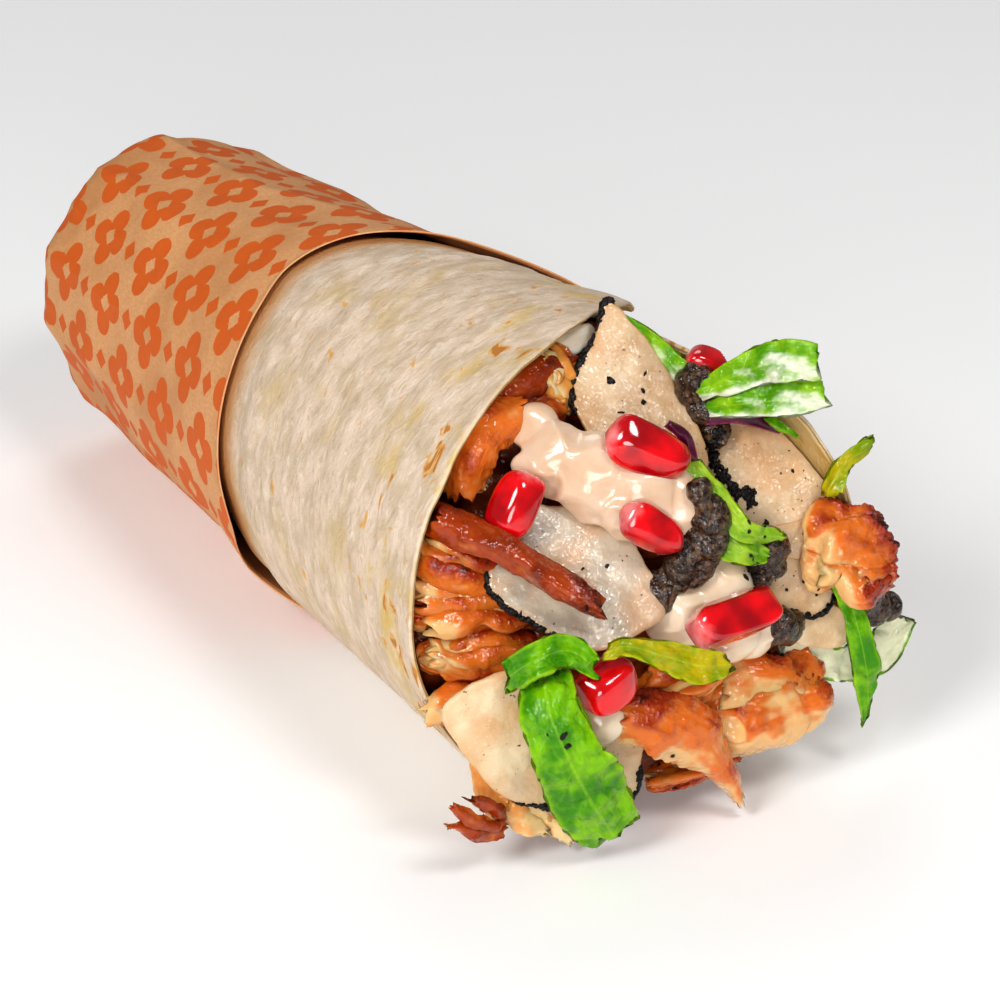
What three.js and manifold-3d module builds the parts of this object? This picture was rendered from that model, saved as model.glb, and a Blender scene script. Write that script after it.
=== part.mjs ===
// A piadina: a rolled flatbread in a paper sleeve, filled with chicken, sliced truffle, sauce,
// salad and pomegranate seeds. It lies on its side. Millimetres, +Z up. The filled mouth faces -Y,
// the folded tail of the sleeve +Y. The origin is on the flat strip that the sleeve rests on.
import * as THREE from 'three';
import { mergeVertices } from 'three/addons/utils/BufferGeometryUtils.js';
import Module from 'manifold-3d';

const wasm = await Module();
wasm.setup();
const { degToRad, lerp, smoothstep } = THREE.MathUtils;

// Driving dimensions. "Along" is measured from the mouth towards the tail.
const MOUTH_RADIUS = 33;
const TAIL_RADIUS = 25.8;
const CONE_LENGTH = 154;
const HEIGHT_OVER_WIDTH = 1.06;
const FLATTENING = 0.8;
const TAIL_RISE = 1.3;
const RISE_START = 108;
const FREE_END_LIFT = 0.9;
const MOUTH_Y = -72;
const GAP = 0.3;

const BREAD_THICKNESS = 1.6;
const PLY_GAP = 0.35;
const CLEARANCE = 0.5;
const BREAD_FREE_END = 50;
const BREAD_INNER_END = 450;
const BREAD_STEP = 10;
const BREAD_END = 142;

const PAPER_THICKNESS = 0.45;
const PAPER_SHOULDER = 148;
const PAPER_TAIL = 14;
const TAIL_SQUARENESS = 3;

// Rows of the grid that the bread and the paper share, and rows of the paper alone.
const SHARED_ROWS = [108, 128];
const EDGE_OFFSETS = [0, 5, 14];
const TAIL_FOLDS = [0.25, 0.5, 0.8];

const TUCK_START = 10;
const TUCK_END = 3;
const CORE_END = 137;
const SIMPLIFY = 0.16;

// The side that the filling is turned to: towards the mouth, a little left and up.
const FACING = new THREE.Vector3(-0.469, -0.755, 0.458).normalize();

const COLOURS = {
  bread: 0xdcc8a6,
  paper: 0xc58a5c,
  filling: 0x9a5a2c,
  chicken: 0xc4702e,
  chicken_dark: 0x8a3412,
  chicken_pale: 0xdca468,
  truffle: 0xd9c09c,
  sauce: 0xf0d6b6,
  seed: 0xb0101c,
  paste: 0x2c211c,
  leaf: 0x6cab2e,
  cabbage: 0x4c1838,
  onion: 0xe8dccb,
};

// A point of the filling: right of the axis, forward of the mouth and above the floor.
function at([right, forward, up]) {
  return new THREE.Vector3(right, MOUTH_Y - forward, up);
}

// A smooth curve through [x, y] points, flat beyond the first and the last one.
function curveThrough(points) {
  const slope = (i) => {
    const before = points[Math.max(i - 1, 0)];
    const after = points[Math.min(i + 1, points.length - 1)];
    return (after[1] - before[1]) / (after[0] - before[0]);
  };
  return (x) => {
    const last = points.length - 1;
    if (x <= points[0][0]) return points[0][1];
    if (x >= points[last][0]) return points[last][1];
    const i = points.findIndex((point, k) => k < last && x < points[k + 1][0]);
    const span = points[i + 1][0] - points[i][0];
    const t = (x - points[i][0]) / span;
    const rise = (1 - t) ** 2 * (1 + 2 * t) * points[i][1] + t ** 2 * (3 - 2 * t) * points[i + 1][1];
    return rise + span * (t * (1 - t) ** 2 * slope(i) - t ** 2 * (1 - t) * slope(i + 1));
  };
}

// Smooth noise between about -1 and 1, with lumps of the given size.
function lumps(point, size, seed) {
  const wave = (2 * Math.PI) / size;
  const { x, y, z } = point;
  const a = Math.sin(wave * (0.62 * x + 0.31 * z) + 1.9 * seed) * Math.cos(wave * (0.55 * y - 0.2 * x) + seed);
  const b = Math.sin(wave * (0.48 * z - 0.37 * y) + 2.7 * seed) * Math.cos(wave * (0.41 * x + 0.5 * z) - seed);
  return 0.6 * a + 0.6 * b;
}

// Solids

function manifoldOf(points, triangles) {
  const geometry = new THREE.BufferGeometry().setFromPoints(points);
  geometry.setIndex(triangles);
  const merged = mergeVertices(geometry, 1e-4);
  const position = merged.attributes.position;
  const index = Uint32Array.from(merged.index.array);
  const corner = (k) => new THREE.Vector3().fromBufferAttribute(position, index[k]);
  let volume = 0;
  for (let k = 0; k < index.length; k += 3) {
    volume += corner(k).dot(corner(k + 1).cross(corner(k + 2)));
  }
  if (volume < 0) {
    for (let k = 0; k < index.length; k += 3) {
      [index[k + 1], index[k + 2]] = [index[k + 2], index[k + 1]];
    }
  }
  const mesh = new wasm.Mesh({ numProp: 3, vertProperties: position.array, triVerts: index });
  return new wasm.Manifold(mesh);
}

function quad(triangles, a, b, c, d) {
  triangles.push(a, b, c, a, c, d);
}

// A solid skinned over closed rings of points. It ends in the two given tips,
// or, without tips, its last ring joins the first.
function ringSolid(rings, tips) {
  const count = rings[0].length;
  const points = rings.flat();
  const triangles = [];
  const joined = tips ? rings.length - 1 : rings.length;
  for (let i = 0; i < joined; i += 1) {
    for (let j = 0; j < count; j += 1) {
      const next = (j + 1) % count;
      const above = ((i + 1) % rings.length) * count;
      quad(triangles, i * count + j, i * count + next, above + next, above + j);
    }
  }
  if (tips) {
    const first = points.push(tips[0]) - 1;
    const last = points.push(tips[1]) - 1;
    const lastRing = (rings.length - 1) * count;
    for (let j = 0; j < count; j += 1) {
      const next = (j + 1) % count;
      triangles.push(first, next, j, last, lastRing + j, lastRing + next);
    }
  }
  return manifoldOf(points, triangles);
}

// A thin solid between two faces with the same grid. face(i, j) gives [outer, inner].
function sheetSolid(columns, rows, face) {
  const points = [];
  const triangles = [];
  const id = (i, j, inner) => 2 * (i * (rows + 1) + j) + inner;
  for (let i = 0; i <= columns; i += 1) {
    for (let j = 0; j <= rows; j += 1) points.push(...face(i, j));
  }
  for (let i = 0; i < columns; i += 1) {
    for (let j = 0; j < rows; j += 1) {
      quad(triangles, id(i, j, 0), id(i + 1, j, 0), id(i + 1, j + 1, 0), id(i, j + 1, 0));
      quad(triangles, id(i, j, 1), id(i, j + 1, 1), id(i + 1, j + 1, 1), id(i + 1, j, 1));
    }
  }
  const rim = [];
  for (let i = 0; i < columns; i += 1) rim.push([i, 0]);
  for (let j = 0; j < rows; j += 1) rim.push([columns, j]);
  for (let i = columns; i > 0; i -= 1) rim.push([i, rows]);
  for (let j = rows; j > 0; j -= 1) rim.push([0, j]);
  rim.forEach(([i, j], k) => {
    const [m, n] = rim[(k + 1) % rim.length];
    quad(triangles, id(i, j, 1), id(m, n, 1), id(m, n, 0), id(i, j, 0));
  });
  return manifoldOf(points, triangles);
}

// A ball moved point by point: move gets a point of the unit sphere.
function ballSolid(detail, move) {
  const ball = new THREE.IcosahedronGeometry(1, detail);
  ball.deleteAttribute('normal');
  ball.deleteAttribute('uv');
  const merged = mergeVertices(ball, 1e-4);
  const position = merged.attributes.position;
  const points = Array.from({ length: position.count }, (_, k) => (
    move(new THREE.Vector3().fromBufferAttribute(position, k))
  ));
  return manifoldOf(points, Array.from(merged.index.array));
}

function largestBody(solid) {
  const bodies = solid.decompose();
  return bodies.reduce((best, body) => (body.volume() > best.volume() ? body : best));
}

// The roll

function radiusAt(along) {
  return lerp(MOUTH_RADIUS, TAIL_RADIUS, along / CONE_LENGTH);
}

// The axis of the roll. The last part bends up off the floor.
function axisHeight(along) {
  const rise = TAIL_RISE * smoothstep(along, RISE_START, CONE_LENGTH);
  return radiusAt(along) * HEIGHT_OVER_WIDTH - FLATTENING + rise;
}

// A point of the roll's skin, depth below the bread's outer face, never lower than rest.
// The turn is in degrees, anticlockwise as seen from the mouth, from the right-hand side.
function skinPoint(turn, along, depth, rest, shrink = 1) {
  const angle = degToRad(turn);
  const radius = (radiusAt(along) - depth) * shrink;
  const up = axisHeight(along) + radius * HEIGHT_OVER_WIDTH * Math.sin(angle);
  return new THREE.Vector3(radius * Math.cos(angle), MOUTH_Y + along, Math.max(up, rest));
}

// Where the paper's edge lies, by turn.
const paperEdge = curveThrough([
  [0, 46], [30, 43], [45, 44], [55, 48], [65, 56], [75, 66], [85, 71], [100, 76], [118, 78], [132, 76],
  [150, 74], [180, 72], [196, 70], [208, 72], [218, 73.5], [228, 70], [250, 64], [280, 60], [320, 53], [360, 46],
]);

// Inside the sleeve the bread is a little slimmer, by the paper and its gap.
function tuck(turn, along) {
  const edge = paperEdge(turn % 360);
  return (PAPER_THICKNESS + GAP) * smoothstep(along, edge - TUCK_START, edge - TUCK_END);
}

const breadEdge = curveThrough([
  [50, 35], [58, 31], [65, 26.5], [72, 22.5], [80, 20], [87, 17.5], [102, 13], [120, 10.5], [150, 6.8],
  [200, 6.5], [235, 6.5], [290, 6], [315, 3], [335, -2], [352, -5.5], [370, -5.5], [390, -4.5],
  [403, -4], [410, 0], [420, 20], [432, 28], [450, 33],
]);

function plyDepth(turn) {
  return (BREAD_THICKNESS + PLY_GAP) * smoothstep(turn, 345, 409);
}

function breadRipple(turn, along) {
  const open = 1 - smoothstep(along, 34, 44);
  const ripple = Math.sin(degToRad(turn * 4)) + Math.sin(degToRad(turn * 3) + along / 24);
  return 0.18 * open * ripple;
}

// The free end stands off the roll a little.
function freeEndLift(turn, along) {
  const nearEnd = 1 - smoothstep(turn, BREAD_FREE_END, BREAD_FREE_END + 25);
  return FREE_END_LIFT * nearEnd * (1 - smoothstep(along, 34, 43));
}

// One sheet, rolled a little over one turn.
function flatbread() {
  const columns = (BREAD_INNER_END - BREAD_FREE_END) / BREAD_STEP;
  const openRows = 3;
  const alongs = (turn) => {
    const sleeve = paperEdge(turn % 360);
    const open = Array.from({ length: openRows + 1 }, (_, k) => (
      lerp(breadEdge(turn), sleeve - TUCK_START, k / openRows)
    ));
    return [...open, sleeve - TUCK_END, ...SHARED_ROWS, BREAD_END];
  };
  const rows = alongs(BREAD_FREE_END).length - 1;
  return sheetSolid(columns, rows, (i, j) => {
    const turn = BREAD_FREE_END + i * BREAD_STEP;
    const along = alongs(turn)[j];
    const rest = tuck(turn, along);
    const depth = plyDepth(turn) + breadRipple(turn, along) - freeEndLift(turn, along) + rest;
    return [
      skinPoint(turn, along, depth, rest),
      skinPoint(turn, along, depth + BREAD_THICKNESS, rest + BREAD_THICKNESS),
    ];
  });
}

// The depth of the roll's inner face, with room to spare. Where the plies overlap, the inner
// one starts further in than the outer one.
function innerDepth(turn, along) {
  const overlapEnd = BREAD_INNER_END - 360;
  const single = BREAD_THICKNESS + CLEARANCE + breadRipple(turn, along) + tuck(turn, along);
  if (turn < BREAD_FREE_END) return single + plyDepth(turn + 360);
  if (turn > overlapEnd) return single + plyDepth(turn);
  return single + (along > breadEdge(turn + 360) - 2 ? BREAD_THICKNESS + PLY_GAP : 0);
}

function turns(step) {
  return Array.from({ length: 360 / step }, (_, k) => k * step);
}

// The space that the bread takes, with its gap: it trims what lies in the mouth.
function breadRoom() {
  const outside = -6;
  const innerEdge = (turn) => (turn + 360 > BREAD_INNER_END ? breadEdge(turn) : breadEdge(turn + 360));
  const outerEdge = (turn) => (turn < BREAD_FREE_END ? innerEdge(turn) : breadEdge(turn));
  const edge = (turn) => Math.min(outerEdge(turn), innerEdge(turn)) - GAP;
  const cover = (turn) => Math.max(edge(turn), innerEdge(turn) - 2.5);
  const ring = (along, depth) => turns(BREAD_STEP).map((turn) => (
    skinPoint(turn, along(turn), depth(turn, along(turn)), -Infinity)
  ));
  return ringSolid([
    ring(edge, () => outside),
    ring(() => BREAD_END, () => outside),
    ring(() => BREAD_END, innerDepth),
    ring((turn) => cover(turn) + 1, innerDepth),
    ring(cover, innerDepth),
    ring(edge, innerDepth),
  ]);
}

// The sleeve

// How far the paper's edge stands off the bread.
const paperFlare = curveThrough([
  [0, 0.2], [45, 0.2], [75, 0.9], [120, 0.7], [170, 0.5], [195, 0.8], [212, 1.1], [240, 0.3], [360, 0.2],
]);

function crumple(turn, tail) {
  const folds = 0.9 + Math.sin(degToRad(turn * 6) + 0.7) + Math.sin(degToRad(turn * 9) + 2.1);
  return 0.35 * tail * folds;
}

// The fold runs from 0 at the shoulder to 1 at the tip of the tail. At the same turn
// and place, lift is the height above the sleeved bread.
function paperPoint(turn, along, fold, lift, rest) {
  const angle = (fold * Math.PI) / 2;
  const shrink = Math.cos(angle) ** (2 / TAIL_SQUARENESS);
  const reach = (PAPER_TAIL + lift) * Math.sin(angle) ** (2 / TAIL_SQUARENESS);
  const flare = paperFlare(turn) * (1 - smoothstep(along - paperEdge(turn), 0, 16));
  const depth = PAPER_THICKNESS + GAP - lift - flare + crumple(turn, smoothstep(fold, 0, 0.5));
  const point = skinPoint(turn, along, depth, -Infinity, shrink);
  point.y += reach;
  point.z = Math.max(point.z, rest);
  return point;
}

function paperRings(lift, rest) {
  const ring = (along, fold) => turns(BREAD_STEP).map((turn) => (
    paperPoint(turn, along(turn), fold, lift, rest)
  ));
  return [
    ...EDGE_OFFSETS.map((offset) => ring((turn) => paperEdge(turn) + offset, 0)),
    ...[...SHARED_ROWS, PAPER_SHOULDER].map((along) => ring(() => along, 0)),
    ...TAIL_FOLDS.map((fold) => ring(() => PAPER_SHOULDER, fold)),
  ];
}

function paperSleeve() {
  const outer = GAP + PAPER_THICKNESS;
  const rings = [...paperRings(outer, 0).reverse(), ...paperRings(GAP, PAPER_THICKNESS)];
  const tip = (lift) => {
    const point = skinPoint(0, PAPER_SHOULDER, 0, 0, 0);
    point.y += PAPER_TAIL + lift;
    return point;
  };
  return ringSolid(rings, [tip(outer), tip(GAP)]);
}

// The filling that runs through the roll. Its uneven front leans back towards the top.
function coreFront(x, z) {
  const lean = 24 * smoothstep(z, 26, 62) + 9 * smoothstep(-x, 8, 28) + 3 * smoothstep(x, 18, 30);
  return lean - 3 + 1.2 * lumps(new THREE.Vector3(x, 0, z), 14, 3);
}

function fillingCore() {
  const angles = turns(BREAD_STEP);
  const rest = PAPER_THICKNESS + GAP + BREAD_THICKNESS + CLEARANCE;
  const wallPoint = (turn, along, shrink) => (
    skinPoint(turn, along, innerDepth(turn, BREAD_END), rest, shrink)
  );
  const wallStart = (turn) => {
    const rough = wallPoint(turn, 10);
    return coreFront(rough.x, rough.z) + 6;
  };
  const centre = axisHeight(10);
  const frontRing = (share) => angles.map((turn) => {
    const wall = wallPoint(turn, wallStart(turn));
    const x = wall.x * share;
    const z = lerp(centre, wall.z, share);
    return new THREE.Vector3(x, MOUTH_Y + coreFront(x, z) + 4 * share ** 6, z);
  });
  const sideRing = (share, shrink) => angles.map((turn) => (
    wallPoint(turn, lerp(wallStart(turn), CORE_END, share), shrink)
  ));
  const rings = [
    ...[0.3, 0.6, 0.9].map(frontRing),
    ...[0, 0.5, 0.94].map((share) => sideRing(share, 1)),
    sideRing(0.98, 0.8),
    sideRing(1, 0.4),
  ];
  const front = new THREE.Vector3(0, MOUTH_Y + coreFront(0, centre), centre);
  const back = new THREE.Vector3(0, MOUTH_Y + CORE_END, axisHeight(CORE_END));
  return ringSolid(rings, [front, back]);
}

// Pieces of the filling. Each shape takes a growth in millimetres, and grown it is the room
// that the piece needs among its neighbours.

function axesBetween(from, to) {
  const along = to.clone().sub(from).normalize();
  const face = FACING.clone().addScaledVector(along, -FACING.dot(along)).normalize();
  const side = face.clone().cross(along);
  return { along, face, side };
}

// A lump between two ends, rounder or squarer, with bumps.
function chunk({ from, to, width, depth, seed, bump = 0.14, lump = 9, squareness = 2.4, detail = 2 }) {
  const [a, b] = [at(from), at(to)];
  const { along, face, side } = axesBetween(a, b);
  const centre = a.clone().lerp(b, 0.5);
  return (grow) => {
    const halves = [a.distanceTo(b) / 2 + grow, width / 2 + grow, depth / 2 + grow];
    return ballSolid(detail, (p) => {
      const power = Math.abs(p.x) ** squareness + Math.abs(p.y) ** squareness + Math.abs(p.z) ** squareness;
      const reach = power ** (-1 / squareness);
      const swell = 1 + bump * lumps(p.clone().multiplyScalar(10), lump, seed);
      return centre.clone()
        .addScaledVector(along, p.x * reach * swell * halves[0])
        .addScaledVector(side, p.y * reach * swell * halves[1])
        .addScaledVector(face, p.z * reach * swell * halves[2]);
    });
  };
}

// A strip along a path. It can taper, twist about its path, cup across and wave along its edges.
function ribbon({ path, widths, thick, lift = 0, twist = [0, 0], cup = 0, wave = 0, waves = 2, seed = 0,
  steps = 8, cells = 2, thinEdge = 1 }) {
  const curve = new THREE.CatmullRomCurve3(path.map(at), false, 'centripetal');
  const widthAt = curveThrough(widths.map((width, k) => [k / (widths.length - 1), width]));
  return (grow) => sheetSolid(steps, cells, (i, j) => {
    const share = i / steps;
    const across = (2 * j) / cells - 1;
    const tangent = curve.getTangentAt(share);
    const face = FACING.clone().addScaledVector(tangent, -FACING.dot(tangent)).normalize();
    face.applyAxisAngle(tangent, degToRad(lerp(twist[0], twist[1], share)));
    const side = face.clone().cross(tangent);
    const ends = i === 0 ? -grow : i === steps ? grow : 0;
    const wavy = wave * across * Math.sin(2 * Math.PI * waves * share + seed + across);
    const middle = curve.getPointAt(share)
      .addScaledVector(tangent, ends)
      .addScaledVector(side, across * (widthAt(share) / 2 + grow))
      .addScaledVector(face, lift + cup * (across ** 2 - 0.5) + wavy);
    const half = (thick / 2) * lerp(1, thinEdge, across ** 2) + grow;
    return [middle.clone().addScaledVector(face, half), middle.clone().addScaledVector(face, -half)];
  });
}

// A round thin slice between its left, right, top and bottom edge, bent across or along.
function roundSlice({ left, right, top, bottom, thick = 1, bend = 0, roll = 0, taper = 0, seed = 0, cells = 5 }) {
  const [l, r, t, b] = [left, right, top, bottom].map(at);
  const centre = l.clone().add(r).add(t).add(b).multiplyScalar(0.25);
  const across = r.clone().sub(l).multiplyScalar(0.5);
  const upward = t.clone().sub(b).multiplyScalar(0.5);
  const normal = across.clone().cross(upward).normalize();
  return (grow) => sheetSolid(cells, cells, (i, j) => {
    const u = (2 * i) / cells - 1;
    const v = (2 * j) / cells - 1;
    const x = u * Math.sqrt(1 - (v * v) / 2);
    const y = v * Math.sqrt(1 - (u * u) / 2);
    const uneven = 1 + 0.05 * Math.hypot(x, y) * Math.sin(5 * Math.atan2(y, x) + seed);
    const narrow = 1 - (taper * (1 + y)) / 2;
    const middle = centre.clone()
      .addScaledVector(across, x * uneven * narrow * (1 + grow / across.length()))
      .addScaledVector(upward, y * uneven * (1 + grow / upward.length()))
      .addScaledVector(normal, bend * x * x + roll * y * y);
    const half = thick / 2 + grow;
    return [middle.clone().addScaledVector(normal, half), middle.clone().addScaledVector(normal, -half)];
  });
}

// Soft lumps run together: each is [right, forward, up, radius], flattened towards the viewer.
function pool({ lumps: list, flat = 0.6, bump = 0, seed = 0, detail = 1 }) {
  return (grow) => list.map(([right, forward, up, radius], k) => ballSolid(detail, (p) => {
    const swell = 1 + bump * lumps(p.clone().multiplyScalar(10), 8, seed + k);
    const push = p.clone().multiplyScalar(radius * swell);
    push.addScaledVector(FACING, -(1 - flat) * push.dot(FACING));
    push.addScaledVector(p, grow);
    return at([right, forward, up]).add(push);
  })).reduce((whole, part) => whole.add(part));
}

function pomegranateSeed(from, to, width, seed) {
  return chunk({ from, to, width, depth: width * 0.9, seed, bump: 0.05, lump: 12, squareness: 3, detail: 1 });
}

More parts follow.
